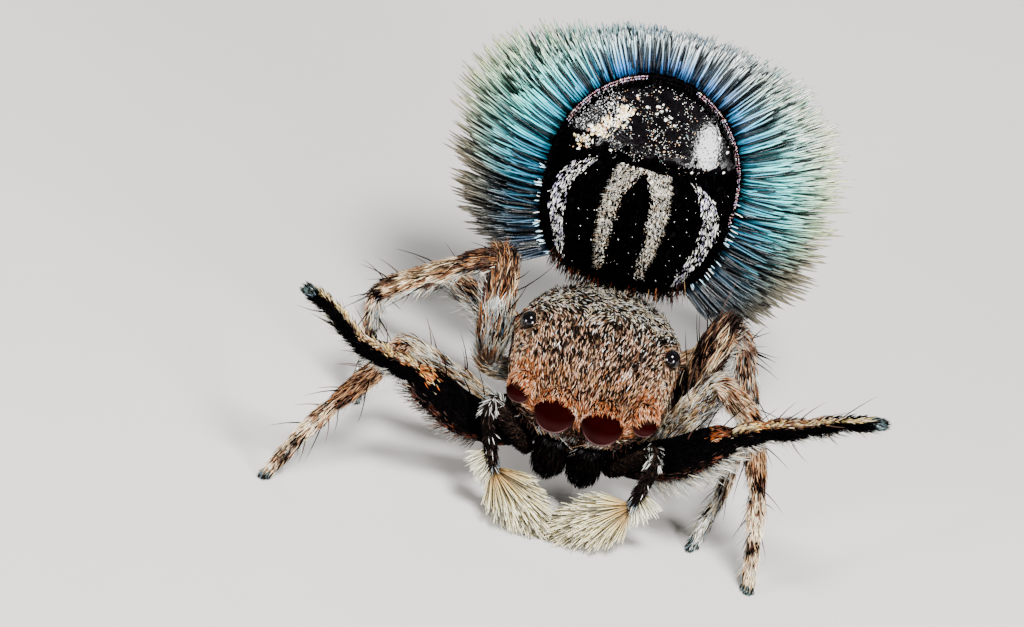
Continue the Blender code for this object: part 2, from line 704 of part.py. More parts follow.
def make_spinnerets(rooms):
    """The short cluster of spinnerets at the upper rear end of the abdomen."""
    root = PLATE_MIDDLE + ABDOMEN_UP * 0.70 - ABDOMEN_OUT * 0.54
    way = (ABDOMEN_UP * 0.62 - ABDOMEN_OUT * 0.78).normalized()
    tip = root + way * (SPINNERET_ROOT + SPINNERET_LENGTH)
    rings = limb_rings((root, tip), (SPINNERET_PROFILE,), SPINNERET_SIDES)
    cluster = object_from("spinnerets", closed_loft(rings), "leg_coat")
    cut_clear(cluster, rooms)
    return cluster


def to_metres(nodes):
    """Centres the model over the origin and scales it to metres."""
    points = [vert.co for node in nodes for vert in node.data.vertices]
    middle = Vector((0.0, 0.0, 0.0))
    for axis in range(2):
        middle[axis] = (min(p[axis] for p in points) + max(p[axis] for p in points)) / 2
    place = Matrix.Scale(MM, 4) @ Matrix.Translation(-middle)
    for node in nodes:
        node.data.transform(place)
        node.data.shade_smooth()
        node.data.set_sharp_from_angle(angle=SHARP_ANGLE)


def main():
    """Builds every solid of the spider."""
    carapace = make_carapace()
    sternum = make_sternum()
    plate = make_plate()
    abdomen = make_abdomen()
    eyes = make_eyes()
    jaws = [make_jaw(f"jaw_{word}", side) for side, word in ((1, "left"), (-1, "right"))]
    thorax_rooms = rooms_for([carapace, sternum])
    jaw_rooms = rooms_for(jaws)
    eye_rooms = rooms_for(eyes)
    abdomen_room, plate_room = rooms_for([abdomen, plate])
    for jaw in jaws:
        cut_clear(jaw, thorax_rooms)
    cut_clear(carapace, eye_rooms)
    waist = make_waist([*thorax_rooms, abdomen_room])
    spinnerets = make_spinnerets([abdomen_room])
    join_into(abdomen, make_bristles())
    cut_clear(abdomen, [plate_room])
    nodes = [carapace, sternum, *eyes, *jaws, plate, abdomen, waist, spinnerets]
    for side in ("left", "right"):
        nodes += make_palp(side, thorax_rooms + jaw_rooms)
        for number in LEG_RADII:
            nodes += make_leg(number, side, thorax_rooms)
    for room in [*thorax_rooms, *jaw_rooms, *eye_rooms, abdomen_room, plate_room]:
        bpy.data.objects.remove(room, do_unlink=True)
    to_metres(nodes)


main()
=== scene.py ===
"""Dresses the life-size peacock spider: skin, eyes, glossy plate, coat and fringe.

Shapes are worked out in millimetres in the spider's own frame. There x runs from the
mirror plane towards the spider's left, y from the front middle eyes towards the tail
and z up from the floor. Placement carries each finished piece into the model's metres.
"""

import logging
import math
from dataclasses import dataclass, field
from enum import Enum
from typing import Callable

import bpy
import numpy as np
from mathutils import Matrix, Vector
from mathutils.kdtree import KDTree


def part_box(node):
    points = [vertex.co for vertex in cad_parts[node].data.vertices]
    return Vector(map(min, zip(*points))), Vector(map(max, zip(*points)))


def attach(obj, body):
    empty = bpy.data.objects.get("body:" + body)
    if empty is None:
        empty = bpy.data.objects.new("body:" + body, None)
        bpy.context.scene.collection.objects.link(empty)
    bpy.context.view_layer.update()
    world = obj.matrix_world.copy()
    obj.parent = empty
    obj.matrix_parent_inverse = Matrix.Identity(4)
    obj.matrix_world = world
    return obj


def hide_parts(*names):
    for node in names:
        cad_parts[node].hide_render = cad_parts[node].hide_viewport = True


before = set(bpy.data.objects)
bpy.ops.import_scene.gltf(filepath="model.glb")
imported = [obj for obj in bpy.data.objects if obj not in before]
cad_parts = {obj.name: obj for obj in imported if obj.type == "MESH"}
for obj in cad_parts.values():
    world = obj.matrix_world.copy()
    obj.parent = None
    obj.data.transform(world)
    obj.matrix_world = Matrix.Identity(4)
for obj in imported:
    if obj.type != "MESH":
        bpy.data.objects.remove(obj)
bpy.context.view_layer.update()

log = logging.getLogger("spider")

Array = np.ndarray
Point = tuple[float, float, float]
Stops = tuple[tuple[float, float], ...]
Piece = bpy.types.Object

MM = 0.001
SEED = 11
COAT_DEPTH = 0.02               # how far the skin lies inside the solids
UNWRAP_PATCH = 0.003            # the size of one hair's patch on the unwrap
LOWEST_HAIR = 0.004
DARK_HAIR = 0.014               # the lightest tone, as the shader takes it, of a hair that doesn't shine
TINT_LAYER = "coat_colour"
FINISH_LAYER = "finish_mask"


# Small number helpers

def unit(rows: Array) -> Array:
    """Each row scaled to length one."""
    return rows / np.maximum(np.linalg.norm(rows, axis=-1, keepdims=True), 1e-9)


def column(values: Array) -> Array:
    """A list of numbers turned so that it multiplies rows of points."""
    return np.asarray(values)[..., None]


def profile(stops: Stops, at: Array, soften: float = 0.0) -> Array:
    """The value between (place, value) stops.

    Args:
        stops: places in rising order, each with its value.
        at: where the value is wanted.
        soften: half the stretch over which the corners at the stops are rounded.

    Returns:
        One value for each entry of at.
    """
    places, values = zip(*stops)
    shifts = np.linspace(-soften, soften, 5) if soften else np.zeros(1)
    return np.mean([np.interp(np.asarray(at) + shift, places, values) for shift in shifts], axis=0)


def ranked(values: Array) -> Array:
    """The same values as even shares from 0 to 1, in their own order."""
    order = np.empty(len(values))
    order[np.argsort(values)] = np.arange(len(values))
    return (order + 0.5) / max(len(values), 1)


def power_wave(wave: Array, power: Array) -> Array:
    """A cosine or sine raised to a power with its sign kept."""
    return np.sign(wave) * np.abs(wave) ** power


@dataclass(frozen=True)
class Mottle:
    """Smooth, seeded light and dark patches in space.

    Attributes:
        size: millimetres across a patch.
        seed: picks the pattern.
        waves: how many waves are added up.
    """

    size: float
    seed: int
    waves: int = 14

    def at(self, points: Array) -> Array:
        """The pattern at each point, about -2 to 2 round 0."""
        draw = np.random.default_rng(self.seed)
        lengths = self.size * draw.uniform(1.3, 3.0, (self.waves, 1))
        ways = unit(draw.normal(size=(self.waves, 3))) * (2 * math.pi / lengths)
        turns = draw.uniform(0, 2 * math.pi, self.waves)
        return np.sin(points @ ways.T + turns).sum(axis=-1) / math.sqrt(self.waves / 2)


# Colours

def linear(red: float, green: float, blue: float) -> Array:
    """The shader's colour for a swatch given in the usual 0 to 255 numbers."""
    share = np.array([red, green, blue]) / 255
    return np.where(share <= 0.04045, share / 12.92, ((share + 0.055) / 1.055) ** 2.4)


class Tone(Enum):
    """The tones of the hairs and scales."""

    JET = (5, 4, 5)
    BLACK = (9, 7, 7)
    SOOT = (26, 20, 18)
    DARK_BROWN = (54, 32, 22)
    BROWN = (92, 56, 36)
    TAN = (152, 104, 70)
    SAND = (190, 148, 104)
    PINK_CREAM = (216, 172, 142)
    CREAM = (226, 204, 166)
    YELLOW_CREAM = (218, 188, 118)
    WHITE = (242, 238, 226)
    SILVER = (182, 184, 178)
    GREY = (116, 116, 110)
    BLUE_GREY = (90, 110, 122)
    SEA_GREY = (66, 88, 86)
    STEEL_BLUE = (40, 86, 122)
    ORANGE_TAN = (178, 108, 52)
    ORANGE = (160, 74, 15)
    DEEP_ORANGE = (106, 40, 8)
    LILAC = (178, 172, 206)
    ROSE = (176, 126, 138)
    ICE = (180, 224, 244)
    OLIVE = (100, 84, 52)
    GOLD = (238, 214, 150)

    @property
    def colour(self) -> Array:
        """The tone as the shader takes it."""
        return linear(*self.value)


@dataclass(frozen=True)
class Palette:
    """Tones, each with how often it comes up."""

    shares: tuple[tuple[Tone, float], ...]

    def pick(self, chance: Array) -> Array:
        """One tone's colour for each chance from 0 to 1."""
        edges = np.cumsum([share for _, share in self.shares])
        tones = np.array([tone.colour for tone, _ in self.shares])
        return tones[np.searchsorted(edges / edges[-1], np.clip(chance, 0.0, 0.9999))]

    def mean(self) -> Array:
        """The colour of all the tones together."""
        weights = np.array([share for _, share in self.shares])
        tones = np.array([tone.colour for tone, _ in self.shares])
        return (tones * weights[:, None]).sum(axis=0) / weights.sum()


def palette(**shares: float) -> Palette:
    """A palette from tone names and shares, such as black=0.4."""
    return Palette(tuple((Tone[name.upper()], share) for name, share in shares.items()))


# The spider's frame and the model's frame

@dataclass(frozen=True)
class BodyFrame:
    """The head and thorax, tipped nose-down about the centre of the front eyes."""

    pitch: float = math.radians(12)
    eye_height: float = 1.05

    def point(self, across: Array, back: Array, up: Array) -> Array:
        """Places in the spider's frame from places in the tipped body."""
        across, back, up = np.broadcast_arrays(across, back, up)
        y = back * math.cos(self.pitch) - up * math.sin(self.pitch)
        z = self.eye_height + back * math.sin(self.pitch) + up * math.cos(self.pitch)
        return np.stack([across, y, z], axis=-1).astype(float)

    def way(self, across: float, back: float, up: float) -> Array:
        """A direction in the spider's frame from one in the tipped body."""
        return self.point(across, back, up) - self.point(0.0, 0.0, 0.0)

    def local(self, points: Array) -> tuple[Array, Array, Array]:
        """The across, back and up of points in the spider's frame."""
        y, z = points[..., 1], points[..., 2] - self.eye_height
        back = y * math.cos(self.pitch) + z * math.sin(self.pitch)
        return points[..., 0], back, z * math.cos(self.pitch) - y * math.sin(self.pitch)


BODY = BodyFrame()


@dataclass(frozen=True)
class EyeSize:
    """One pair of eyes in the tipped body, in millimetres."""

    name: str
    across: float
    back: float
    up: float
    radius: float
    looks: Point                # to its own side, back and up
    hood: Point                 # how far its socket sits back and up, and the socket's size

    def centre(self, side: int) -> Array:
        """The middle of the eye on one side."""
        return BODY.point(side * self.across, self.back, self.up)

    def axis(self, side: int) -> Array:
        """The direction that the lens looks in."""
        outward, back, up = self.looks
        return unit(BODY.way(side * outward, back, up))


EYES = (
    EyeSize("front_middle", 0.2236, 0.027, 0.029, 0.192, (0.05, -1.0, 0.0), (0.32, 0.12, 1.0)),
    EyeSize("front_side", 0.588, 0.150, 0.065, 0.125, (0.45, -1.0, 0.0), (0.22, 0.42, 1.0)),
    EyeSize("small", 0.670, 0.555, 0.197, 0.034, (0.9, -0.4, 0.7), (0.45, -0.1, 0.98)),
    EyeSize("rear", 0.667, 0.866, 0.217, 0.088, (0.9, -0.35, 0.75), (0.5, -0.15, 0.98)),
)
SIDES = ((1, "left"), (-1, "right"))


@dataclass(frozen=True)
class Placement:
    """Carries the spider's millimetres into the model's metres."""

    shift: Array

    @classmethod
    def from_frame(cls) -> "Placement":
        """Lines the two frames up on the left front middle eye."""
        low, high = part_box("eye_front_middle_left")
        model = np.array((low + high) / 2) / MM
        return cls(model - EYES[0].centre(1))

    def settle(self, piece: Piece) -> None:
        """Scales and moves a piece's mesh into the model's frame."""
        piece.data.transform(Matrix.Scale(MM, 4) @ Matrix.Translation(Vector(self.shift)))

    def metres(self, point: Array) -> Vector:
        """One place in the model's frame."""
        return Vector((np.asarray(point) + self.shift) * MM)


PLACEMENT = Placement.from_frame()


# Meshes

def new_piece(name: str, points: Array, corners: Array) -> Piece:
    """A smooth mesh object in millimetres.

    Args:
        name: the piece's name.
        points: one row for each vertex.
        corners: one row of vertex numbers for each face.

    Returns:
        The new object, linked to the scene.
    """
    mesh = bpy.data.meshes.new(name)
    sides = corners.shape[1]
    mesh.vertices.add(len(points))
    mesh.vertices.foreach_set("co", points.astype(np.float32).ravel())
    mesh.loops.add(corners.size)
    mesh.loops.foreach_set("vertex_index", corners.astype(np.int32).ravel())
    mesh.polygons.add(len(corners))
    mesh.polygons.foreach_set("loop_start", np.arange(0, corners.size, sides, dtype=np.int32))
    mesh.polygons.foreach_set("use_smooth", np.ones(len(corners), dtype=bool))
    mesh.update(calc_edges=True)
    mesh.validate()
    made = bpy.data.objects.new(name, mesh)
    bpy.context.scene.collection.objects.link(made)
    return made


def tint(piece: Piece, colours: Array, layer_name: str = TINT_LAYER) -> None:
    """Stores one colour for each vertex."""
    layer = piece.data.color_attributes.new(layer_name, "FLOAT_COLOR", "POINT")
    rows = np.column_stack([colours, np.ones(len(colours))]).astype(np.float32)
    layer.data.foreach_set("color", rows.ravel())


def unwrap(piece: Piece, spots: Array) -> None:
    """Stores the unwrap that a finish is baked on, from one spot for each vertex."""
    numbers = np.empty(len(piece.data.loops), dtype=np.int32)
    piece.data.loops.foreach_get("vertex_index", numbers)
    layer = piece.data.uv_layers.new(name="OFBake")
    layer.data.foreach_set("uv", spots[numbers].astype(np.float32).ravel())


def hand_over(piece: Piece, finish: bpy.types.Material, slot: str, *nodes: str) -> Piece:
    """Places a finished piece in the model and reports it.

    Args:
        piece: a mesh object in the spider's millimetres.
        finish: its material.
        slot: not used.
        nodes: the solids that it stands for.

    Returns:
        The same piece.
    """
    piece.data.materials.clear()
    piece.data.materials.append(finish)
    PLACEMENT.settle(piece)
    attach(piece, "root")
    if nodes:
        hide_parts(*nodes)
    piece.data.calc_loop_triangles()
    log.info("%s: %d triangles", piece.name, len(piece.data.loop_triangles))
    return piece


@dataclass
class Roots:
    """Where hairs grow: one entry of each list for each hair."""

    places: Array
    normals: Array
    along: Array
    around: Array
    value: Array
    turn: Array
    spots: Array

    def __len__(self) -> int:
        """How many hairs grow here."""
        return len(self.places)

    def keep(self, chosen: Array) -> "Roots":
        """Only the chosen ones."""
        return Roots(*(getattr(self, name)[chosen] for name in self.__dataclass_fields__))


@dataclass
class Patch:
    """A tube-like sheet of skin: rows of points, each row closed round.

    Attributes:
        points: rows, columns and x, y, z.
        value: what each row is along its part, which the markings read.
        tints: the colour at each point, set by paint.
        cell: the part of the unwrap it lies on, as left, bottom, right, top.
    """

    points: Array
    value: Array
    tints: Array | None = None
    cell: tuple[float, float, float, float] = (0.01, 0.01, 0.99, 0.99)

    def frames(self) -> tuple[Array, Array, Array]:
        """The outward normal, the way along and the way round at each point."""
        along = unit(np.gradient(self.points, axis=0))
        around = unit(np.roll(self.points, -1, axis=1) - np.roll(self.points, 1, axis=1))
        normal = unit(np.cross(around, along))
        outward = self.points - self.points.mean(axis=1, keepdims=True)
        if (normal * outward).sum() < 0:
            normal = -normal
        return normal, along, around

    def flat_roots(self) -> Roots:
        """Every point of the sheet as a root, for painting."""
        rows, columns = self.points.shape[:2]
        normal, along, around = self.frames()
        turn = np.tile(2 * math.pi * np.arange(columns) / columns, (rows, 1))
        value = np.tile(self.value[:, None], (1, columns))
        spots = np.zeros((rows * columns, 2))
        return Roots(self.points.reshape(-1, 3), normal.reshape(-1, 3), along.reshape(-1, 3),
                     around.reshape(-1, 3), value.ravel(), turn.ravel(), spots)

    def scatter(self, count: int, draw: np.random.Generator,
                weight: Callable[[Array, Array], Array] | None = None) -> Roots:
        """Roots spread evenly over the sheet.

        Args:
            count: how many.
            draw: the source of chance.
            weight: how thickly they grow, from the places and the values of the cells.

        Returns:
            The roots, in order along the sheet.
        """
        rows, columns = self.points.shape[:2]
        right = np.roll(self.points, -1, axis=1)
        corners = (self.points[:-1], right[:-1], right[1:], self.points[1:])
        area = np.linalg.norm(np.cross(corners[2] - corners[0], corners[3] - corners[1]), axis=-1) / 2
        if weight:
            area = area * weight(corners[0], np.repeat(self.value[:-1, None], columns, axis=1))
        total = np.cumsum(area.ravel())
        picks = np.searchsorted(total, (np.arange(count) + draw.random(count)) / count * total[-1])
        row, col = np.divmod(np.minimum(picks, area.size - 1), columns)
        s, t = draw.random((2, count, 1))

        def between(grid: Array) -> Array:
            """The grid's value at each root."""
            beside = np.roll(grid, -1, axis=1)
            low = grid[row, col] * (1 - t) + beside[row, col] * t
            high = grid[row + 1, col] * (1 - t) + beside[row + 1, col] * t
            return low * (1 - s) + high * s

        normal, along, around = self.frames()
        share_up = (row + s[:, 0]) / (rows - 1)
        share_round = (col + t[:, 0]) / columns
        value = self.value[row] * (1 - s[:, 0]) + self.value[row + 1] * s[:, 0]
        left, bottom, right_edge, top = self.cell
        spots = np.stack([left + (right_edge - left) * share_round,
                          bottom + (top - bottom) * share_up], axis=-1)
        return Roots(between(self.points), unit(between(normal)), unit(between(along)),
                     unit(between(around)), value, 2 * math.pi * share_round, spots)

    def triangles(self) -> tuple[Array, Array]:
        """The sheet as a closed mesh, its ends filled: points, then corners."""
        rows, columns = self.points.shape[:2]
        index = np.arange(rows * columns).reshape(rows, columns)
        beside = np.roll(index, -1, axis=1)
        a, b, c, d = (g.ravel() for g in (index[:-1], beside[:-1], beside[1:], index[1:]))
        faces = [np.stack([a, b, c], 1), np.stack([a, c, d], 1)]
        points = np.vstack([self.points.reshape(-1, 3), self.points[0].mean(0), self.points[-1].mean(0)])
        first, last = rows * columns, rows * columns + 1
        faces.append(np.stack([beside[0], index[0], np.full(columns, first)], 1))
        faces.append(np.stack([index[-1], beside[-1], np.full(columns, last)], 1))
        corners = np.vstack(faces)
        sides = points[corners]
        volume = (sides[:, 0] * np.cross(sides[:, 1], sides[:, 2])).sum()
        return points, corners if volume > 0 else corners[:, ::-1]


@dataclass(frozen=True)
class HairShape:
    """The form of one kind of hair.

    Attributes:
        rings: share of the length and share of the full width at each ring.
        sides: the corners of its cross-section.
        flatness: its thickness as a share of its width.
        edge: painted light and shade across each hair: how bright its two edges are against the ridge between
            them.
        twist: where its first corner lies, as a share of the step between corners.
    """

    rings: tuple[tuple[float, float], ...]
    sides: int = 3
    flatness: float = 0.6
    edge: float = 1.0
    twist: float = 0.25


# The fourth number of a shape, where given, is its edge: painted shade along each hair's sides.
SETA = HairShape(((0.0, 0.6), (0.42, 1.0)), 3, 0.5, 0.3)
LONG_HAIR = HairShape(((0.0, 0.8), (0.35, 1.0), (0.72, 0.66)), 3, 0.7, 0.4)
BRUSH_HAIR = HairShape(((0.0, 0.8), (0.3, 1.0), (0.75, 0.9), (0.94, 0.6)), 3, 0.7, 0.15)
BRISTLE = HairShape(((0.0, 0.7), (0.25, 1.0), (0.7, 0.9), (0.93, 0.55)), 4, 0.75, 0.06, 0.0)
SPINE = HairShape(((0.0, 1.0), (0.3, 0.9), (0.6, 0.62), (0.85, 0.34)), 5, 1.0)
SCALE = HairShape(((0.0, 0.45), (0.35, 1.0), (0.75, 0.8)), 4, 0.22)
BEAD = HairShape(((0.0, 0.5), (0.25, 1.0), (0.75, 0.9)), 5, 0.8)


@dataclass
class Hair:
    """Many like hairs: one entry of each list for each hair.

    Attributes:
        roots: where they grow.
        ways: the direction of each.
        lengths: how long each is.
        widths: how wide each is at its widest.
        tones: its colours from root to tip, as stops, hairs and channels.
        bends: how far the tip is carried off the straight line.
    """

    roots: Roots
    ways: Array
    lengths: Array
    widths: Array
    tones: Array
    bends: Array | None = None

    def keep(self, chosen: Array) -> "Hair":
        """Only the chosen hairs."""
        bends = None if self.bends is None else self.bends[chosen]
        return Hair(self.roots.keep(chosen), self.ways[chosen], self.lengths[chosen],
                    self.widths[chosen], self.tones[:, chosen], bends)

    def points_and_tints(self, shape: HairShape) -> tuple[Array, Array, Array]:
        """The vertices, their colours and their spots on the unwrap."""
        count = len(self.roots)
        ways = unit(self.ways)
        bends = np.zeros((count, 3)) if self.bends is None else self.bends
        across = unit(np.cross(ways, self.roots.normals))
        rings, tints, spots = [], [], []
        for share, size in (*shape.rings, (1.0, 0.0)):
            centre = self.roots.places + ways * column(self.lengths * share) + bends * share ** 2
            tangent = unit(ways * column(self.lengths) + bends * (2 * share))
            thick = np.cross(tangent, across)
            place = share * (len(self.tones) - 1)
            low = min(int(place), len(self.tones) - 2) if len(self.tones) > 1 else 0
            high = min(low + 1, len(self.tones) - 1)
            tone = self.tones[low] + (self.tones[high] - self.tones[low]) * (place - low)
            for k in range(shape.sides if size else 1):
                turn = 2 * math.pi * (k + shape.twist) / shape.sides
                reach = column(self.widths * size / 2)
                rings.append(centre + across * reach * math.cos(turn)
                             + thick * reach * shape.flatness * math.sin(turn))
                # Painted shade: each hair is darker along its edges than on its ridge, as the shape's edge
                # sets.
                tints.append(tone * (shape.edge + (1 - shape.edge) * math.sin(turn) ** 2))
                spots.append(self.roots.spots + UNWRAP_PATCH * np.array([k / shape.sides, share]))
        return np.stack(rings, 1), np.stack(tints, 1), np.stack(spots, 1)

    def grow(self, name: str, shape: HairShape) -> Piece:
        """One mesh of all the hairs, each a closed form.

        Args:
            name: the piece's name.
            shape: the form of each hair.

        Returns:
            The mesh object, in millimetres.
        """
        return grow_together(name, [(self, shape)])


def hair_corners(shape: HairShape) -> Array:
    """The triangles of one hair, as rows of its own vertex numbers."""
    sides, rings = shape.sides, len(shape.rings)
    corners = []
    for ring in range(rings - 1):
        for k in range(sides):
            a, b = ring * sides + k, ring * sides + (k + 1) % sides
            corners += [(a, b, b + sides), (a, b + sides, a + sides)]
    last = (rings - 1) * sides
    corners += [(last + k, last + (k + 1) % sides, rings * sides) for k in range(sides)]
    corners += [(0, k + 1, k) for k in range(1, sides - 1)]
    return np.array(corners)


def grow_together(name: str, kinds: list[tuple[Hair, HairShape]]) -> Piece:
    """One mesh of several kinds of hair.

    Args:
        name: the piece's name.
        kinds: each kind of hair with its form.

    Returns:
        The mesh object, in millimetres.
    """
    points, tints, spots, corners = [], [], [], []
    start = 0
    for hair, shape in kinds:
        if not len(hair.roots):
            continue
        made = hair.points_and_tints(shape)
        count, each = made[0].shape[:2]
        corners.append((hair_corners(shape)[None] + start + (np.arange(count) * each)[:, None, None])
                       .reshape(-1, 3))
        for rows, grid in zip((points, tints, spots), made):
            rows.append(grid.reshape(count * each, -1))
        start += count * each
    places = np.vstack(points)
    places[:, 2] = np.maximum(places[:, 2], LOWEST_HAIR)
    piece = new_piece(name, places, np.vstack(corners))
    tint(piece, np.clip(np.vstack(tints), 0.0, 1.0))
    unwrap(piece, np.clip(np.vstack(spots), 0.0, 1.0))
    return piece


def grow_in_two(name: str, kinds: list[tuple[Hair, HairShape]]) -> tuple[Piece, Piece]:
    """The pale hairs as one mesh and the nearly black ones, which don't shine, as another.

    Args:
        name: the pale piece's name.
        kinds: each kind of hair with its form.

    Returns:
        The pale mesh object and the dark one, in millimetres.
    """
    pale, dark = [], []
    for hair, shape in kinds:
        black = hair.tones[len(hair.tones) // 2].max(axis=-1) < DARK_HAIR
        pale.append((hair.keep(~black), shape))
        dark.append((hair.keep(black), shape))
    return grow_together(name, pale), grow_together(f"{name}_dark", dark)


def lie(roots: Roots, flow: Array, lift: Array, jitter: float, draw: np.random.Generator) -> Array:
    """The direction of hairs that lie along a flow.

    Args:
        roots: where they grow.
        flow: the way they would lie, one for all or one for each.
        lift: how far they stand out, in radians.
        jitter: how far they stray, as a share.
        draw: the source of chance.

    Returns:
        One direction for each hair.
    """
    flow = np.broadcast_to(flow, roots.places.shape)
    flat = unit(flow - roots.normals * column((flow * roots.normals).sum(-1)))
    flat = unit(flat + np.cross(roots.normals, flat) * column(draw.normal(0, jitter, len(roots))))
    lift = np.broadcast_to(lift, len(roots)) * draw.uniform(0.6, 1.4, len(roots))
    return flat * column(np.cos(lift)) + roots.normals * column(np.sin(lift))


def shaded(tones: Array, root: float = 0.6, tip: float = 1.05) -> Array:
    """The same tones with painted shade at the root and painted light at the tip."""
    return np.stack([tones * root, tones, np.clip(tones * tip, 0.0, 1.0)])


# Finishes

@dataclass
class NodeSheet:
    """A material's nodes, laid out as they are added."""

    material: bpy.types.Material

    @classmethod
    def named(cls, name: str) -> "NodeSheet":
        """A new material with its Principled shader and nothing else."""
        material = bpy.data.materials.new(name)
        material.use_nodes = True
        return cls(material)

    @property
    def shader(self) -> bpy.types.Node:
        """The Principled shader."""
        return self.material.node_tree.nodes["Principled BSDF"]

    def add(self, kind: str, **settings: object) -> bpy.types.Node:
        """A node of one kind; settings name its properties, or its inputs by name."""
        node = self.material.node_tree.nodes.new(kind)
        for name, value in settings.items():
            if hasattr(node, name):
                setattr(node, name, value)
            else:
                node.inputs[name.replace("_", " ").title()].default_value = value
        return node

    def link(self, source: bpy.types.NodeSocket, target: bpy.types.NodeSocket) -> None:
        """Joins two sockets."""
        self.material.node_tree.links.new(source, target)

    def constants(self, **values: float) -> None:
        """Sets the shader's own sockets; an underscore stands for a space."""
        for name, value in values.items():
            self.shader.inputs[name.replace("_", " ")].default_value = value

    def millimetres(self) -> bpy.types.NodeSocket:
        """Object coordinates in millimetres."""
        place = self.add("ShaderNodeTexCoord")
        scale = self.add("ShaderNodeVectorMath", operation="SCALE")
        scale.inputs["Scale"].default_value = 1 / MM
        self.link(place.outputs["Object"], scale.inputs[0])
        return scale.outputs["Vector"]

    def noise(self, place: bpy.types.NodeSocket, per_mm: float, detail: float = 2.0) -> bpy.types.NodeSocket:
        """Noise with so many patches to the millimetre, from 0 to 1."""
        node = self.add("ShaderNodeTexNoise", scale=per_mm, detail=detail)
        self.link(place, node.inputs["Vector"])
        return node.outputs["Fac"]

    def cells(self, place: bpy.types.NodeSocket, per_mm: float, feature: str = "F1") -> bpy.types.NodeSocket:
        """The distance to the nearest of scattered cells."""
        node = self.add("ShaderNodeTexVoronoi", feature=feature, scale=per_mm)
        self.link(place, node.inputs["Vector"])
        return node.outputs["Distance"]

    def remap(self, value: bpy.types.NodeSocket, source: tuple[float, float],
              target: tuple[float, float]) -> bpy.types.NodeSocket:
        """A value carried from one range to another."""
        node = self.add("ShaderNodeMapRange")
        for place, number in zip((1, 2, 3, 4), (*source, *target)):
            node.inputs[place].default_value = number
        self.link(value, node.inputs[0])
        return node.outputs[0]

    def tinted(self, layer_name: str) -> bpy.types.Node:
        """The node that reads a mesh's stored colours."""
        return self.add("ShaderNodeAttribute", attribute_name=layer_name)

    def scaled(self, colour: bpy.types.NodeSocket, factor: bpy.types.NodeSocket) -> bpy.types.NodeSocket:
        """A colour made lighter or darker by a factor."""
        node = self.add("ShaderNodeVectorMath", operation="SCALE")
        self.link(colour, node.inputs[0])
        self.link(factor, node.inputs["Scale"])
        return node.outputs["Vector"]

    def bump(self, height: bpy.types.NodeSocket, microns: float, strength: float) -> bpy.types.Node:
        """Raises the surface by a height from 0 to 1."""
        node = self.add("ShaderNodeBump")
        node.inputs["Strength"].default_value = strength
        node.inputs["Distance"].default_value = microns * 1e-6
        self.link(height, node.inputs["Height"])
        self.link(node.outputs["Normal"], self.shader.inputs["Normal"])
        return node


@dataclass(frozen=True)
class HairFinish:
    """Hairs and scales: their stored tone, streaked, with a soft or a hard shine."""

    name: str
    smooth: float
    rough: float
    specular: float
    sheen: float = 0.0
    coat: float = 0.0
    streaks: float = 22.0
    contrast: float = 0.28

    def make(self) -> bpy.types.Material:
        """The material."""
        sheet = NodeSheet.named(self.name)
        place = sheet.millimetres()
        streak = sheet.remap(sheet.noise(place, self.streaks, 3.0), (0.3, 0.7),
                             (1 - self.contrast, 1 + self.contrast))
        sheet.link(sheet.scaled(sheet.tinted(TINT_LAYER).outputs["Color"], streak),
                   sheet.shader.inputs["Base Color"])
        shine = sheet.remap(sheet.noise(place, self.streaks * 2.5), (0.3, 0.7), (self.smooth, self.rough))
        sheet.link(shine, sheet.shader.inputs["Roughness"])
        sheet.bump(sheet.noise(place, 130.0), 1.2, 0.5)
        sheet.constants(**{"Specular IOR Level": self.specular, "Sheen Weight": self.sheen,
                           "Sheen Roughness": 0.4, "Coat Weight": self.coat, "Coat Roughness": 0.2})
        return sheet.material


@dataclass(frozen=True)
class SkinFinish:
    """The hide under the coat: the same markings, darker, pitted at every hair."""

    name: str = "hide"

    def make(self) -> bpy.types.Material:
        """The material."""
        sheet = NodeSheet.named(self.name)
        place = sheet.millimetres()
        stain = sheet.remap(sheet.noise(place, 9.0, 4.0), (0.3, 0.7), (0.55, 1.35))
        sheet.link(sheet.scaled(sheet.tinted(TINT_LAYER).outputs["Color"], stain),
                   sheet.shader.inputs["Base Color"])
        sheet.link(sheet.remap(sheet.noise(place, 30.0), (0.3, 0.7), (0.38, 0.7)),
                   sheet.shader.inputs["Roughness"])
        sheet.bump(sheet.cells(place, 32.0), 6.0, 0.6)
        sheet.constants(**{"Specular IOR Level": 0.0})
        return sheet.material


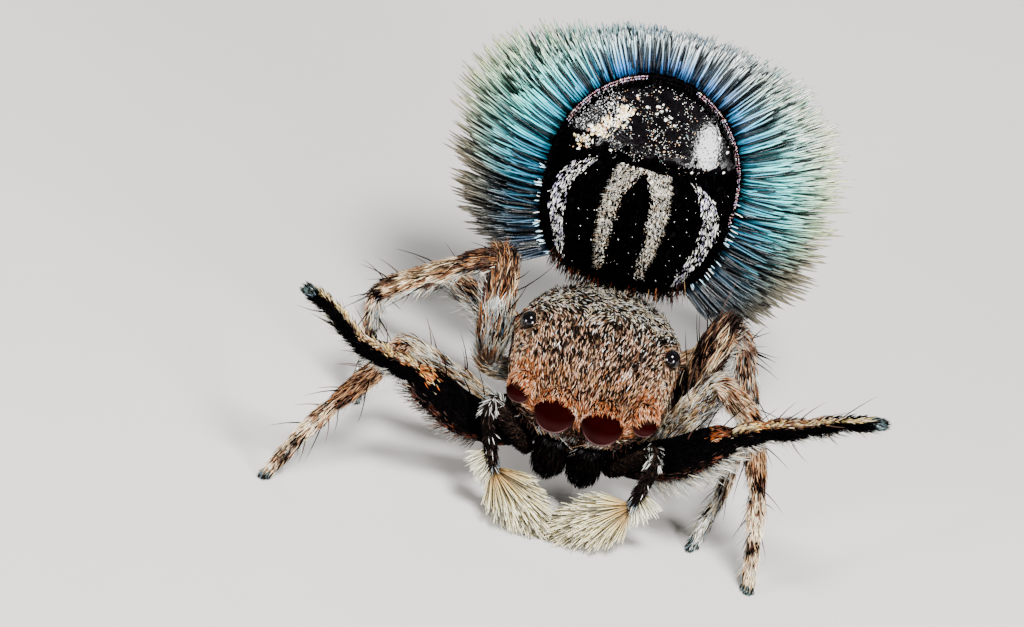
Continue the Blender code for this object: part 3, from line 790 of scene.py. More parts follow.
@dataclass(frozen=True)
class ShellFinish:
    """Black shell, glossy where the mask says so and velvety elsewhere."""

    name: str
    gloss: float = 0.12
    velvet: float = 0.75
    masked: bool = False
    scales: float = 42.0
    specular: float = 0.4

    def make(self) -> bpy.types.Material:
        """The material."""
        sheet = NodeSheet.named(self.name)
        place = sheet.millimetres()
        stain = sheet.remap(sheet.noise(place, 14.0, 4.0), (0.3, 0.7), (0.5, 1.6))
        sheet.link(sheet.scaled(sheet.tinted(TINT_LAYER).outputs["Color"], stain),
                   sheet.shader.inputs["Base Color"])
        grain = sheet.noise(place, 60.0, 3.0)
        if self.masked:
            mask = sheet.add("ShaderNodeSeparateColor")
            sheet.link(sheet.tinted(FINISH_LAYER).outputs["Color"], mask.inputs[0])
            polish = sheet.remap(mask.outputs["Red"], (0.0, 1.0), (self.velvet, self.gloss))
            mixed = sheet.add("ShaderNodeMath", operation="MULTIPLY")
            sheet.link(polish, mixed.inputs[0])
            sheet.link(sheet.remap(grain, (0.3, 0.7), (0.7, 1.3)), mixed.inputs[1])
            sheet.link(mixed.outputs[0], sheet.shader.inputs["Roughness"])
            height = sheet.add("ShaderNodeMath", operation="MULTIPLY")
            sheet.link(sheet.cells(place, self.scales), height.inputs[0])
            sheet.link(mask.outputs["Green"], height.inputs[1])
            sheet.bump(height.outputs[0], 5.0, 0.8)
        else:
            sheet.link(sheet.remap(grain, (0.3, 0.7), (self.gloss, self.velvet)),
                       sheet.shader.inputs["Roughness"])
            sheet.bump(sheet.cells(place, self.scales), 3.0, 0.4)
        sheet.constants(**{"Specular IOR Level": self.specular})
        return sheet.material


@dataclass(frozen=True)
class LensFinish:
    """A dark lens over its stored colour, either satin or wet."""

    name: str
    rough: float
    specular: float
    coat: float

    def make(self) -> bpy.types.Material:
        """The material."""
        sheet = NodeSheet.named(self.name)
        place = sheet.millimetres()
        depth = sheet.remap(sheet.noise(place, 7.0, 3.0), (0.3, 0.7), (0.75, 1.25))
        sheet.link(sheet.scaled(sheet.tinted(TINT_LAYER).outputs["Color"], depth),
                   sheet.shader.inputs["Base Color"])
        sheet.link(sheet.remap(sheet.noise(place, 40.0), (0.3, 0.7), (self.rough * 0.8, self.rough * 1.2)),
                   sheet.shader.inputs["Roughness"])
        sheet.bump(sheet.noise(place, 20.0), 0.4, 0.2)
        sheet.constants(**{"Specular IOR Level": self.specular, "Coat Weight": self.coat,
                           "Coat Roughness": 0.03, "Coat IOR": 1.4})
        return sheet.material


@dataclass(frozen=True)
class FloorFinish:
    """A plain pale floor with the faintest grain."""

    name: str = "pale_floor"
    pale: tuple[float, float, float] = (0.62, 0.59, 0.56)

    def make(self) -> bpy.types.Material:
        """The material."""
        sheet = NodeSheet.named(self.name)
        place = sheet.millimetres()
        ramp = sheet.add("ShaderNodeMix", data_type="RGBA")
        ramp.inputs["A"].default_value = (*(c * 0.96 for c in self.pale), 1.0)
        ramp.inputs["B"].default_value = (*self.pale, 1.0)
        sheet.link(sheet.noise(place, 1.2, 4.0), ramp.inputs["Factor"])
        sheet.link(ramp.outputs["Result"], sheet.shader.inputs["Base Color"])
        sheet.constants(Roughness=0.8)
        return sheet.material


# Head and thorax

@dataclass
class Carapace:
    """The shield over the head and thorax, and the setae that cover it."""

    length: float = 1.95
    width: Stops = ((0, 0.46), (0.14, 0.65), (0.28, 0.71), (0.55, 0.77), (0.9, 0.79), (1.2, 0.76),
                    (1.5, 0.65), (1.75, 0.47), (1.9, 0.30), (1.95, 0.20))
    top: Stops = ((0, 0.13), (0.05, 0.19), (0.2, 0.25), (0.55, 0.32), (0.9, 0.34), (1.15, 0.30),
                  (1.45, 0.15), (1.75, -0.06), (1.95, -0.20))
    bottom: Stops = ((0, -0.22), (0.05, -0.25), (0.4, -0.31), (1.0, -0.34), (1.6, -0.36), (1.95, -0.33))
    squareness: Stops = ((0, 3.2), (0.5, 3.0), (1.0, 2.6), (1.6, 2.1), (1.95, 2.0))
    widest_share: float = 0.42
    rounding: float = 0.05
    face_bulge: float = 0.05
    setae: int = 15500
    seta_length: float = 0.092
    seta_width: float = 0.0108

    rear: Palette = palette(white=0.20, cream=0.20, tan=0.04, brown=0.02, black=0.54)
    middle: Palette = palette(white=0.06, pink_cream=0.20, sand=0.04, tan=0.05, brown=0.08, soot=0.12,
                              black=0.45)
    front: Palette = palette(pink_cream=0.15, sand=0.14, orange_tan=0.09, tan=0.07, orange=0.03,
                             brown=0.12, soot=0.10, black=0.30)
    brow: Palette = palette(pink_cream=0.17, sand=0.12, orange_tan=0.25, orange=0.26, deep_orange=0.20)
    beside_eyes: Palette = palette(pink_cream=0.38, cream=0.18, orange_tan=0.14, brown=0.10, black=0.20)
    flank: Palette = palette(cream=0.06, orange_tan=0.05, brown=0.18, dark_brown=0.26, black=0.45)
    under: Palette = palette(silver=0.08, dark_brown=0.20, black=0.72)

    def patch(self, inset: float, rows: int = 70, columns: int = 80) -> Patch:
        """The shield's sheet, lying that far inside the solid."""
        face = np.array([0.03, 0.3, 0.55, 0.76, 0.90, 0.97])
        tail = np.array([0.9, 0.7, 0.42, 0.08])
        back = np.concatenate([np.zeros(len(face)), np.linspace(0, self.length, rows),
                               np.full(len(tail), self.length)])
        shrink = np.concatenate([face, np.ones(rows), tail])
        push = np.concatenate([-self.face_bulge * (1 - face ** 2), np.zeros(rows),
                               0.02 * (1 - tail ** 2)])
        push += np.where(back == 0, inset, 0.0)
        soften = self.rounding * np.clip(back / 0.12, 0.1, 1.0)
        width = np.array([profile(self.width, b, w) for b, w in zip(back, soften)]) - inset
        top = np.array([profile(self.top, b, w) for b, w in zip(back, soften)]) - inset
        bottom = profile(self.bottom, back) + inset
        middle = bottom + (top - bottom) * self.widest_share
        turn = 2 * math.pi * np.arange(columns) / columns
        power = (2 / profile(self.squareness, back))[:, None]
        across = power_wave(np.cos(turn), power) * (width * shrink)[:, None]
        rise = power_wave(np.sin(turn), power)
        reach = np.where(rise > 0, (top - middle)[:, None], (middle - bottom)[:, None])
        up = middle[:, None] + reach * rise * shrink[:, None]
        return Patch(BODY.point(across, (back + push)[:, None], up), back + push)

    def regions(self, places: Array, stray: Array) -> Array:
        """The number of the palette at each place; stray blurs the borders."""
        across, back, up = BODY.local(places)
        across, back, up = np.abs(across) + 0.05 * stray, back + 0.09 * stray, up + 0.03 * stray
        near = np.min([np.hypot(across - eye.across, back - eye.back) for eye in EYES[2:]], axis=0)
        corner = np.hypot(across - 0.62, (back - 0.30) * 0.8)
        cheek_line = profile(((0, -0.06), (0.5, 0.05), (1.0, 0.05), (1.6, -0.12), (1.95, -0.3)), back)
        tests = [
            up < -0.27,
            up < cheek_line,
            (near < 0.15) & (across > 0.5),
            (back < 0.13) | (corner < 0.16),
            (across > 0.70) & (back > 0.6) & (back < 1.5),
            back < 0.46,
            back < 1.08,
        ]
        return np.select(tests, [6, 5, 4, 3, 4, 2, 1], default=0)

    def palettes(self) -> tuple[Palette, ...]:
        """The palettes in the order that regions numbers them."""
        return (self.rear, self.middle, self.front, self.brow, self.beside_eyes, self.flank, self.under)

    def paint(self, patch: Patch) -> None:
        """Gives the hide the coat's own markings, darker."""
        roots = patch.flat_roots()
        numbers = self.regions(roots.places, np.zeros(len(roots)))
        means = np.array([tones.mean() for tones in self.palettes()])
        patch.tints = means[numbers] * 0.12

    def tones(self, roots: Roots, numbers: Array, draw: np.random.Generator) -> Array:
        """A tone for each seta from its region's palette, clumped a little."""
        clumps = Mottle(0.10, 3).at(roots.places)
        tones = np.zeros((len(roots), 3))
        for number, tones_here in enumerate(self.palettes()):
            here = numbers == number
            mixed = ranked(clumps[here] * 0.2 + draw.normal(0, 1, here.sum()))
            tones[here] = tones_here.pick(1 - mixed)
        strength = np.select([numbers == 0, numbers == 2], [1.25, 0.82], default=1.0)
        return tones * column(draw.uniform(0.75, 1.45, len(roots)) * strength)

    def coat(self, draw: np.random.Generator) -> tuple[Piece, Piece]:
        """The setae, which lie forwards over the head."""
        patch = self.patch(COAT_DEPTH)
        patch.cell = (0.01, 0.01, 0.99, 0.70)
        roots = patch.scatter(self.setae, draw,
                              lambda places, _: np.where(BODY.local(places)[2] > -0.05, 1.0, 0.45))
        roots = roots.keep(clear_of_eyes(roots.places))
        count = len(roots)
        across, back, _ = BODY.local(roots.places)
        numbers = self.regions(roots.places, draw.normal(0, 1, count))
        flow = np.stack([-0.30 * across, -np.ones(count), np.where(np.abs(across) > 0.62, -0.9, -0.1)], -1)
        rear_share = np.clip((back - 0.9) / 0.5, 0.0, 1.0)
        flow[:, 0] += (1.1 * Mottle(0.22, 5).at(roots.places) + draw.normal(0, 0.5, count)) * rear_share
        lift = np.where(numbers >= 5, 0.3, 0.24 + 0.16 * rear_share)
        lift += np.clip((back - 1.45) / 0.3, 0, 1) * draw.uniform(0.0, 0.8, count)
        ways = lie(roots, flow, lift, 0.17, draw)
        size = np.select([numbers == 0, numbers == 4, numbers == 3], [0.88, 0.62, 0.80], default=1.0)
        lengths = self.seta_length * size * draw.uniform(0.65, 1.3, count)
        widths = self.seta_width * draw.uniform(0.75, 1.25, count)
        bends = -roots.normals * column(lengths * 0.22)
        tones = shaded(self.tones(roots, numbers, draw), 0.3, 1.1)
        short = clear_of_eyes(roots.places + ways * column(lengths), 0.012, EYES[2:])
        hair = Hair(roots.keep(short), ways[short], lengths[short], widths[short], tones[:, short],
                    bends[short])
        return grow_in_two("carapace_coat", [(hair, SETA), self.brow_hair(draw)])

    def brow_hair(self, draw: np.random.Generator) -> tuple[Hair, HairShape]:
        """The setae on the sockets, which run down over the upper edge of every lens."""
        places, normals, flows = [], [], []
        for eye in EYES:
            for side, _ in SIDES:
                axis = eye.axis(side)
                count = int(140 + 4200 * eye.radius ** 1.5)
                out = unit(draw.normal(size=(count * 3, 3)))
                centre, size = socket(eye, side)
                spots = centre + out * size
                chosen = out @ axis < (0.60 if eye.name == "front_side" else 0.42)
                chosen &= out @ BODY.way(0.0, -0.1, 1.0) > -0.25
                chosen &= np.linalg.norm(spots - eye.centre(side), axis=-1) > eye.radius - 0.002
                places.append(spots[chosen])
                normals.append(out[chosen])
                flows.append(np.tile(axis + BODY.way(0.0, -0.2, -0.25), (chosen.sum(), 1)))
        places, normals, flows = np.vstack(places), np.vstack(normals), np.vstack(flows)
        across, back, _ = BODY.local(places)
        spots = np.stack([0.5 + 0.55 * across, 0.74 + 0.2 * np.clip(back + 0.1, 0, 1.2)], -1)
        roots = Roots(places, normals, flows, flows, back, across, spots)
        numbers = self.regions(places, draw.normal(0, 0.6, len(places)))
        lengths = np.where(back < 0.45, 0.062, 0.045) * draw.uniform(0.7, 1.25, len(places))
        ways = lie(roots, flows, 0.26, 0.22, draw)
        tones = shaded(self.tones(roots, numbers, draw), 0.5, 1.1)
        short = clear_of_eyes(places + ways * column(lengths), 0.006, EYES[2:])
        return Hair(roots.keep(short), ways[short], lengths[short], np.full(short.sum(), 0.0105),
                    tones[:, short], -normals[short] * column(lengths[short] * 0.15)), SETA


def socket(eye: EyeSize, side: int) -> tuple[Array, float]:
    """The centre and radius of the cup that holds a lens from above and behind."""
    back, up, size = eye.hood
    centre = eye.centre(side) - eye.axis(side) * (back * eye.radius) + BODY.way(0, 0, up * eye.radius)
    return centre, eye.radius * size


def clear_of_eyes(places: Array, margin: float = 0.004, eyes: tuple[EyeSize, ...] = EYES) -> Array:
    """Which places lie outside these lenses."""
    clear = np.ones(len(places), dtype=bool)
    for eye in eyes:
        for side, _ in SIDES:
            clear &= np.linalg.norm(places - eye.centre(side), axis=-1) > eye.radius + margin
    return clear


@dataclass
class Eyes:
    """The eight lenses, the sockets that hold them and the setae round each."""

    rows: int = 28
    columns: int = 48
    dome: Array = field(default_factory=lambda: linear(16, 1, 1))
    # The rim colour is a painted reflection in the lower part of each front lens.
    rim: Array = field(default_factory=lambda: linear(34, 14, 14))
    night: Array = field(default_factory=lambda: linear(6, 4, 5))
    # The crescent colour is a painted reflection, a pale line near the lower edge of each front lens.
    crescent: Array = field(default_factory=lambda: linear(112, 84, 84))
    ring_setae: dict = field(default_factory=lambda: {
        "front_middle": 170, "front_side": 110, "small": 24, "rear": 60})

    def ball(self, centre: Array, radius: float, axis: Array) -> Patch:
        """A round sheet whose rows run from the front of the axis to its back."""
        turn = 2 * math.pi * np.arange(self.columns) / self.columns
        fall = np.linspace(0.03, math.pi - 0.03, self.rows)
        side = unit(np.cross(axis, [0.0, 0.0, 1.0]))
        up = np.cross(side, axis)
        ring = side * np.cos(turn)[:, None] + up * np.sin(turn)[:, None]
        points = centre + radius * (np.cos(fall)[:, None, None] * axis
                                    + np.sin(fall)[:, None, None] * ring[None])
        return Patch(points, fall)

    def sockets(self) -> list[Patch]:
        """The cups of hide that hold the lenses from above and behind."""
        made = []
        for eye in EYES:
            for side, _ in SIDES:
                centre, size = socket(eye, side)
                cup = self.ball(centre, size, eye.axis(side))
                cup.tints = np.tile(linear(20, 9, 5), (self.rows * self.columns, 1))
                made.append(cup)
        return made

    def lenses(self, satin: bpy.types.Material, wet: bpy.types.Material) -> None:
        """Builds the eight lenses: the front ones dark and satin with a painted reflection in their lower part,
        the others wet and black.
        """
        for eye in EYES:
            in_front = eye.name.startswith("front")
            for side, word in SIDES:
                axis = eye.axis(side)
                lens = self.ball(eye.centre(side), eye.radius, axis)
                points, corners = lens.triangles()
                piece = new_piece(f"lens_{eye.name}_{word}", points, corners)
                out = unit(points - eye.centre(side))
                # Painted reflection: the lower part of each front lens is made lighter, more so towards its
                # edge, and a pale crescent line is painted near its lower edge.
                low = np.clip(0.45 - 2.6 * (out @ BODY.way(0.0, 0.25, 1.0)), 0.0, 1.0)
                edge = np.clip((0.95 - out @ axis) / 0.5, 0.0, 1.0)
                lower_reflection = (low * (0.6 + 0.4 * edge))[:, None]
                tones = self.dome * (1 - lower_reflection) + self.rim * lower_reflection if in_front else self.night + 0 * lower_reflection
                if in_front:
                    crescent = 0.9 * np.exp(-((out @ BODY.way(0.0, -0.82, 0.57) - 0.40) / 0.07) ** 2)
                    crescent *= np.clip(-2.5 * (out @ BODY.way(0.0, 0.57, 0.82)) - 1.0, 0.0, 1.0)
                    tones = tones * (1 - crescent[:, None]) + self.crescent * crescent[:, None]
                tint(piece, tones)
                hand_over(piece, satin if in_front else wet, "eye", f"eye_{eye.name}_{word}")

    def ring_tones(self, eye: EyeSize, side: int, ring: Array, draw: np.random.Generator) -> Array:
        """The colour of each seta round one eye, from where it stands on the ring."""
        above = ring @ BODY.way(0.0, 0.2, 1.0)
        inward = -side * ring[:, 0]
        brow = palette(pink_cream=0.24, orange_tan=0.34, orange=0.24, deep_orange=0.18)
        pale = palette(white=0.2, pink_cream=0.6, rose=0.2)
        grey = palette(silver=0.12, orange_tan=0.26, brown=0.32, dark_brown=0.30)
        if eye.name in ("small", "rear"):
            brow = palette(pink_cream=0.5, cream=0.15, orange_tan=0.15, brown=0.2)
            grey = brow
        chance = draw.random(len(ring))
        tones = brow.pick(chance)
        if eye.name == "front_middle":
            tones[inward > 0.62] = pale.pick(chance[inward > 0.62])
        tones[above < -0.25] = grey.pick(chance[above < -0.25])
        return tones

    def rings(self, draw: np.random.Generator) -> Piece:
        """The setae round every lens, which lean over its edge."""
        kinds = []
        for number, eye in enumerate(EYES):
            for side, _ in SIDES:
                count = self.ring_setae[eye.name]
                axis = eye.axis(side)
                turn = 2 * math.pi * (np.arange(count) + draw.uniform(-0.4, 0.4, count)) / count
                across = unit(np.cross(axis, [0.0, 0.0, 1.0]))
                up = np.cross(across, axis)
                ring = across * np.cos(turn)[:, None] + up * np.sin(turn)[:, None]
                above = ring @ BODY.way(0.0, 0.2, 1.0)
                seat = np.where(above > 0, 0.16, 0.02) + draw.uniform(-0.10, 0.10, count)
                reach = np.sqrt(1 - np.clip(seat, 0, 0.9) ** 2) * eye.radius * 1.03
                places = eye.centre(side) + ring * column(reach) + axis * column(seat * eye.radius - 0.012)
                outward = np.where(above > 0.0, 0.75, 0.45)
                ways = unit(ring * column(outward) + axis * 0.55
                            + BODY.way(0.0, -0.15, -0.12)[None] + draw.normal(0, 0.12, (count, 3)))
                lengths = (0.14 * eye.radius + 0.022) * draw.uniform(0.7, 1.2, count)
                lengths *= np.where(above > 0.2, 1.0, 0.55)
                spots = np.stack([0.06 + 0.11 * (2 * number + (side < 0)) + 0.08 * turn / 7,
                                  0.5 + 0.2 * seat], -1)
                roots = Roots(places, ring, np.tile(axis, (count, 1)), ring, turn, turn, spots)
                tones = self.ring_tones(eye, side, ring, draw)
                kinds.append((Hair(roots, ways, lengths, np.full(count, 0.009), shaded(tones),
                                   -ring * column(lengths * 0.2)), LONG_HAIR))
        return grow_together("eye_ring_setae", kinds)


@dataclass
class Mouth:
    """The jaws below the eyes, the pale hairs that hang over them, and the sternum."""

    middle: float = 0.165
    top: float = 0.775
    tip: float = 0.335
    set_back: float = 0.11
    slant: float = 0.03
    rings: tuple[Point, ...] = ((0.0, 0.13, 0.10), (0.12, 0.15, 0.125), (0.5, 0.154, 0.135),
                                (0.8, 0.138, 0.12), (0.95, 0.10, 0.085), (1.0, 0.055, 0.05))
    beard_hairs: int = 420
    sternum_width: Stops = ((0.22, 0.12), (0.30, 0.22), (0.55, 0.33), (0.85, 0.35), (1.1, 0.28),
                            (1.34, 0.12))
    sternum_top: Stops = ((0.22, -0.38), (1.34, -0.405))
    sternum_bottom: Stops = ((0.22, -0.55), (0.45, -0.62), (0.9, -0.65), (1.34, -0.56))

    def jaw(self, side: int) -> Patch:
        """One jaw as a round-edged block with a groove down its inner face."""
        share = np.concatenate([[0.0, 0.0], np.linspace(0.02, 0.98, 22), [1.0, 1.0]])
        shrink = np.concatenate([[0.1, 0.8], np.ones(22), [0.75, 0.1]])
        half_width = profile(tuple((s, w) for s, w, _ in self.rings), share, 0.05) * shrink
        half_depth = profile(tuple((s, d) for s, _, d in self.rings), share, 0.05) * shrink
        turn = 2 * math.pi * np.arange(28) / 28
        x = side * self.middle + half_width[:, None] * np.cos(turn)
        groove = 1 - 0.10 * np.exp(-((np.cos(turn) * side + 0.85) / 0.25) ** 2)
        y = self.set_back + self.slant * share[:, None] + half_depth[:, None] * np.sin(turn) * groove
        z = np.broadcast_to((self.top + (self.tip - self.top) * share)[:, None], x.shape)
        return Patch(np.stack([x * groove ** 0.5, y, z], -1), share)

    def jaws(self, finish: bpy.types.Material, hair: bpy.types.Material, draw: np.random.Generator) -> None:
        """Builds both jaws and the few hairs on them."""
        for side, word in SIDES:
            patch = self.jaw(side)
            points, corners = patch.triangles()
            piece = new_piece(f"jaw_shell_{word}", points, corners)
            low = np.clip((self.top - points[:, 2]) / (self.top - self.tip), 0, 1)[:, None]
            tint(piece, linear(4, 2, 2) * (1 - low) + linear(16, 5, 3) * low)
            hand_over(piece, finish, "shell", f"jaw_{word}")
            roots = patch.scatter(1100, draw)
            roots = roots.keep(roots.normals[:, 1] < 0.5)
            tones = palette(soot=0.05, jet=0.95).pick(draw.random(len(roots))) * 0.5
            ways = lie(roots, np.array([0.0, -0.3, -1.0]), 0.35, 0.3, draw)
            lengths = draw.uniform(0.04, 0.09, len(roots))
            fuzz = Hair(roots, ways, lengths, np.full(len(roots), 0.009), shaded(tones),
                        np.array([0, 0, -0.2]) * column(lengths)).grow(f"jaw_hair_{word}", LONG_HAIR)
            hand_over(fuzz, hair, "leg_coat")

    def sternum(self, inset: float) -> Patch:
        """The sheet over the plate between the leg bases."""
        back = np.concatenate([[0.22, 0.22], np.linspace(0.22, 1.34, 24), [1.34, 1.34]])
        shrink = np.concatenate([[0.1, 0.7], np.ones(24), [0.7, 0.1]])
        width = (profile(self.sternum_width, back, 0.04) - inset) * shrink
        top, bottom = profile(self.sternum_top, back), profile(self.sternum_bottom, back, 0.04)
        middle, half = (top + bottom) / 2, ((top - bottom) / 2 - inset) * shrink
        turn = 2 * math.pi * np.arange(32) / 32
        return Patch(BODY.point(width[:, None] * np.cos(turn), back[:, None],
                                middle[:, None] + half[:, None] * np.sin(turn)), back)

    def beard(self, draw: np.random.Generator) -> tuple[Piece, Piece]:
        """The pale hair line under the front eyes and the long hairs that cross below it."""
        kinds = []
        line_count = 300
        share = np.sort(draw.uniform(-1, 1, line_count))
        x = 0.70 * share
        rise = -0.185 - 0.015 * np.cos(share * math.pi * 1.4) + 0.10 * np.abs(share) ** 3
        back = 0.0 + 0.34 * np.abs(share) ** 2.4
        places = BODY.point(x, back, rise)
        front = np.tile(BODY.way(0.0, -1.0, 0.0), (line_count, 1))
        spots = np.stack([0.5 + 0.4 * share, np.full(line_count, 0.2)], -1)
        roots = Roots(places, front, front, front, share, share, spots)
        ways = unit(BODY.way(0, -0.45, -0.25)[None] + np.stack([1.3 * share, 0 * x, 0 * x], -1)
                    + draw.normal(0, 0.16, (line_count, 3)))
        tones = palette(silver=0.14, grey=0.20, brown=0.28, dark_brown=0.38).pick(
            draw.random(line_count))
        tones *= column(0.25 + 0.9 * np.abs(share))
        lengths = draw.uniform(0.04, 0.09, line_count)
        kinds.append((Hair(roots, ways, lengths, np.full(line_count, 0.0075), shaded(tones),
                           np.array([0, 0.3, -0.3]) * column(lengths)), LONG_HAIR))
        face_count = 2600
        x, rise = draw.uniform(-0.52, 0.52, face_count), draw.uniform(-0.37, -0.12, face_count)
        clear = np.hypot(np.abs(x) - EYES[0].across, rise - EYES[0].up) > EYES[0].radius * 0.93
        places = BODY.point(x, 0.02 + 0.3 * x ** 2 - 0.10 * (rise + 0.12), rise)[clear]
        front = np.tile(BODY.way(0.0, -1.0, 0.0), (len(places), 1))
        roots = Roots(places, front, front, front, rise[clear], x[clear],
                      np.stack([0.5 + 0.4 * x[clear], 0.4 + 0.3 * rise[clear]], -1))
        ways = lie(roots, BODY.way(0.0, 0.0, -1.0), 0.35, 0.3, draw)
        tones = palette(deep_orange=0.08, dark_brown=0.22, soot=0.20, jet=0.50).pick(
            draw.random(len(places)))
        low = rise[clear] < -0.24
        tones[low] = palette(dark_brown=0.08, soot=0.12, jet=0.80).pick(draw.random(low.sum()))
        lengths = np.where(low, 0.13, 0.07) * draw.uniform(0.7, 1.3, len(places))
        kinds.append((Hair(roots, ways, lengths, np.full(len(places), 0.010), shaded(tones), None),
                      LONG_HAIR))
        long_count = 150
        share = draw.uniform(0.25, 1.0, long_count) * np.sign(draw.uniform(-1, 1, long_count))
        places = BODY.point(0.70 * share, 0.22 * share ** 2, -0.20 + 0.12 * share ** 4)
        front = np.tile(BODY.way(0.0, -1.0, 0.0), (long_count, 1))
        roots = Roots(places, front, front, front, share, share,
                      np.stack([0.5 + 0.4 * share, np.full(long_count, 0.1)], -1))
        inward = -np.sign(share) * draw.uniform(0.6, 1.5, long_count)
        ways = unit(np.stack([inward, -0.35 - 0 * share, -0.85 + 0.2 * np.abs(share)], -1))
        lengths = draw.uniform(0.16, 0.36, long_count)
        tones = palette(silver=0.45, sand=0.25, brown=0.3).pick(draw.random(long_count)) * 0.8
        kinds.append((Hair(roots, ways, lengths, np.full(long_count, 0.006), shaded(tones),
                           np.array([0, 0.25, -0.1]) * column(lengths)), LONG_HAIR))
        return grow_in_two("beard", kinds)


# Legs

class Article(Enum):
    """The articles of a leg, each with where it starts and ends along the leg's value."""

    COXA = (0, 1)
    FEMUR = (1, 3)
    PATELLA = (3, 4)
    TIBIA = (4, 5)
    METATARSUS = (5, 6)
    TARSUS = (6, 7)


@dataclass(frozen=True)
class Limb:
    """A bent tube through its joints, with one radius profile over all its articles."""

    joints: tuple[Point, ...]
    radii: Stops
    tallness: float = 1.12
    smoothing: float = 0.055

    def patch(self, inset: float, steps: int = 11, columns: int = 20, closed_tip: bool = True) -> Patch:
        """The limb's sheet, lying that far inside the solid."""
        joints = np.array(self.joints)
        spans = len(joints) - 1
        value = np.linspace(0, spans, spans * steps + 1)
        spots = [np.interp(value, np.arange(spans + 1), joints[:, axis]) for axis in range(3)]
        line = np.stack(spots, -1)
        fine = np.linspace(0, spans, spans * 60 + 1)
        fine_line = np.stack([np.interp(fine, np.arange(spans + 1), joints[:, a]) for a in range(3)], -1)
        for number, at in enumerate(value):
            if 0 < at < spans:
                gaps = np.linalg.norm(fine_line - line[number], axis=1)
                weights = np.exp(-(gaps / self.smoothing) ** 2)
                spots_near = (fine_line * weights[:, None]).sum(0) / weights.sum()
                line[number] = spots_near
        facing = unit(np.gradient(line, axis=0))
        side = unit(np.cross(facing[0], [0.0, 0.0, 1.0]))
        radius = np.maximum(profile(self.radii, value, 0.03) - inset, 0.012)
        turn = 2 * math.pi * np.arange(columns) / columns
        rings = []
        for centre, way, reach in zip(line, facing, radius):
            side = unit(side - way * (side @ way))
            up = np.cross(side, way)
            rings.append(centre + side * (reach / self.tallness * np.cos(turn))[:, None]
                         + up * (reach * self.tallness * np.sin(turn))[:, None])
        points = np.array(rings)
        if closed_tip:
            last = points[-1]
            middle = last.mean(0)
            caps = [middle + (last - middle) * share + facing[-1] * push
                    for share, push in ((0.75, 0.012), (0.35, 0.02), (0.05, 0.022))]
            points = np.concatenate([points, caps])
            value = np.concatenate([value, [spans + 0.01, spans + 0.02, spans + 0.03]])
        points[:, :, 2] = np.maximum(points[:, :, 2], 2 * LOWEST_HAIR)
        return Patch(points, value)


LEG_RADII = {
    1: (0.195, 0.118, 0.106, 0.086, 0.076),
    2: (0.150, 0.120, 0.110, 0.090, 0.078),
    3: (0.152, 0.115, 0.105, 0.078, 0.068),
    4: (0.140, 0.114, 0.100, 0.075, 0.066),
}
FEMUR_SAG = {1: 0.085, 2: 0.05, 3: 0.0, 4: 0.0}
COXA_SHARE = {1: 0.72, 2: 0.80, 3: 0.80, 4: 0.80}

# Joints of each leg: base, trochanter, knee, patella end, tibia end, metatarsus end, tip.
LEG_JOINTS = {
    (1, "left"): ((0.28, 0.44, 0.63), (0.53, 0.22, 0.59), (1.40, -0.05, 1.385), (1.665, -0.16, 1.635),
                  (2.012, -0.315, 1.89), (2.30, -0.452, 2.142), (2.644, -0.526, 2.30)),
    (1, "right"): ((-0.28, 0.44, 0.63), (-0.62, 0.20, 0.575), (-1.556, -0.12, 1.19), (-1.78, -0.33, 1.40),
                   (-2.113, -0.555, 1.655), (-2.44, -0.60, 1.985), (-2.667, -0.645, 2.129)),
    (2, "left"): ((0.30, 0.70, 0.69), (0.74, 0.54, 0.60), (1.14, 0.43, 1.585), (1.519, 0.252, 1.43),
                  (1.733, -0.08, 0.93), (1.83, -0.173, 0.44), (1.895, -0.369, 0.0)),
    (2, "right"): ((-0.30, 0.70, 0.69), (-0.78, 0.53, 0.60), (-1.685, 0.405, 1.09), (-1.835, 0.16, 0.99),
                   (-2.165, -0.20, 0.69), (-2.40, -0.45, 0.41), (-2.617, -0.646, 0.0)),
    (3, "left"): ((0.30, 0.98, 0.75), (0.88, 1.02, 0.69), (1.076, 1.10, 1.77), (1.269, 1.20, 1.545),
                  (1.483, 0.88, 1.075), (1.44, 0.40, 0.42), (1.30, 0.04, 0.0)),
    (3, "right"): ((-0.30, 0.98, 0.75), (-0.93, 1.01, 0.69), (-1.03, 1.09, 1.86), (-1.373, 1.10, 1.645),
                   (-2.08, 1.0, 1.151), (-2.03, 0.93, 0.52), (-2.02, 0.86, 0.0)),
    (4, "left"): ((0.24, 1.24, 0.81), (0.60, 1.42, 0.78), (1.16, 2.00, 0.86), (1.25, 2.34, 0.72),
                  (1.34, 2.68, 0.48), (1.39, 2.88, 0.26), (1.41, 3.00, 0.0)),
    (4, "right"): ((-0.24, 1.24, 0.81), (-0.60, 1.42, 0.78), (-1.49, 1.70, 1.04), (-1.80, 1.86, 0.80),
                   (-2.05, 2.10, 0.42), (-2.10, 2.32, 0.20), (-2.07, 2.45, 0.0)),
}


@dataclass(frozen=True)
class ArticleCoat:
    """The coat of one article: its tones above, beside and below, and its hair."""

    above: Palette
    beside: Palette
    below: Palette
    length: float
    lift: float = 0.22


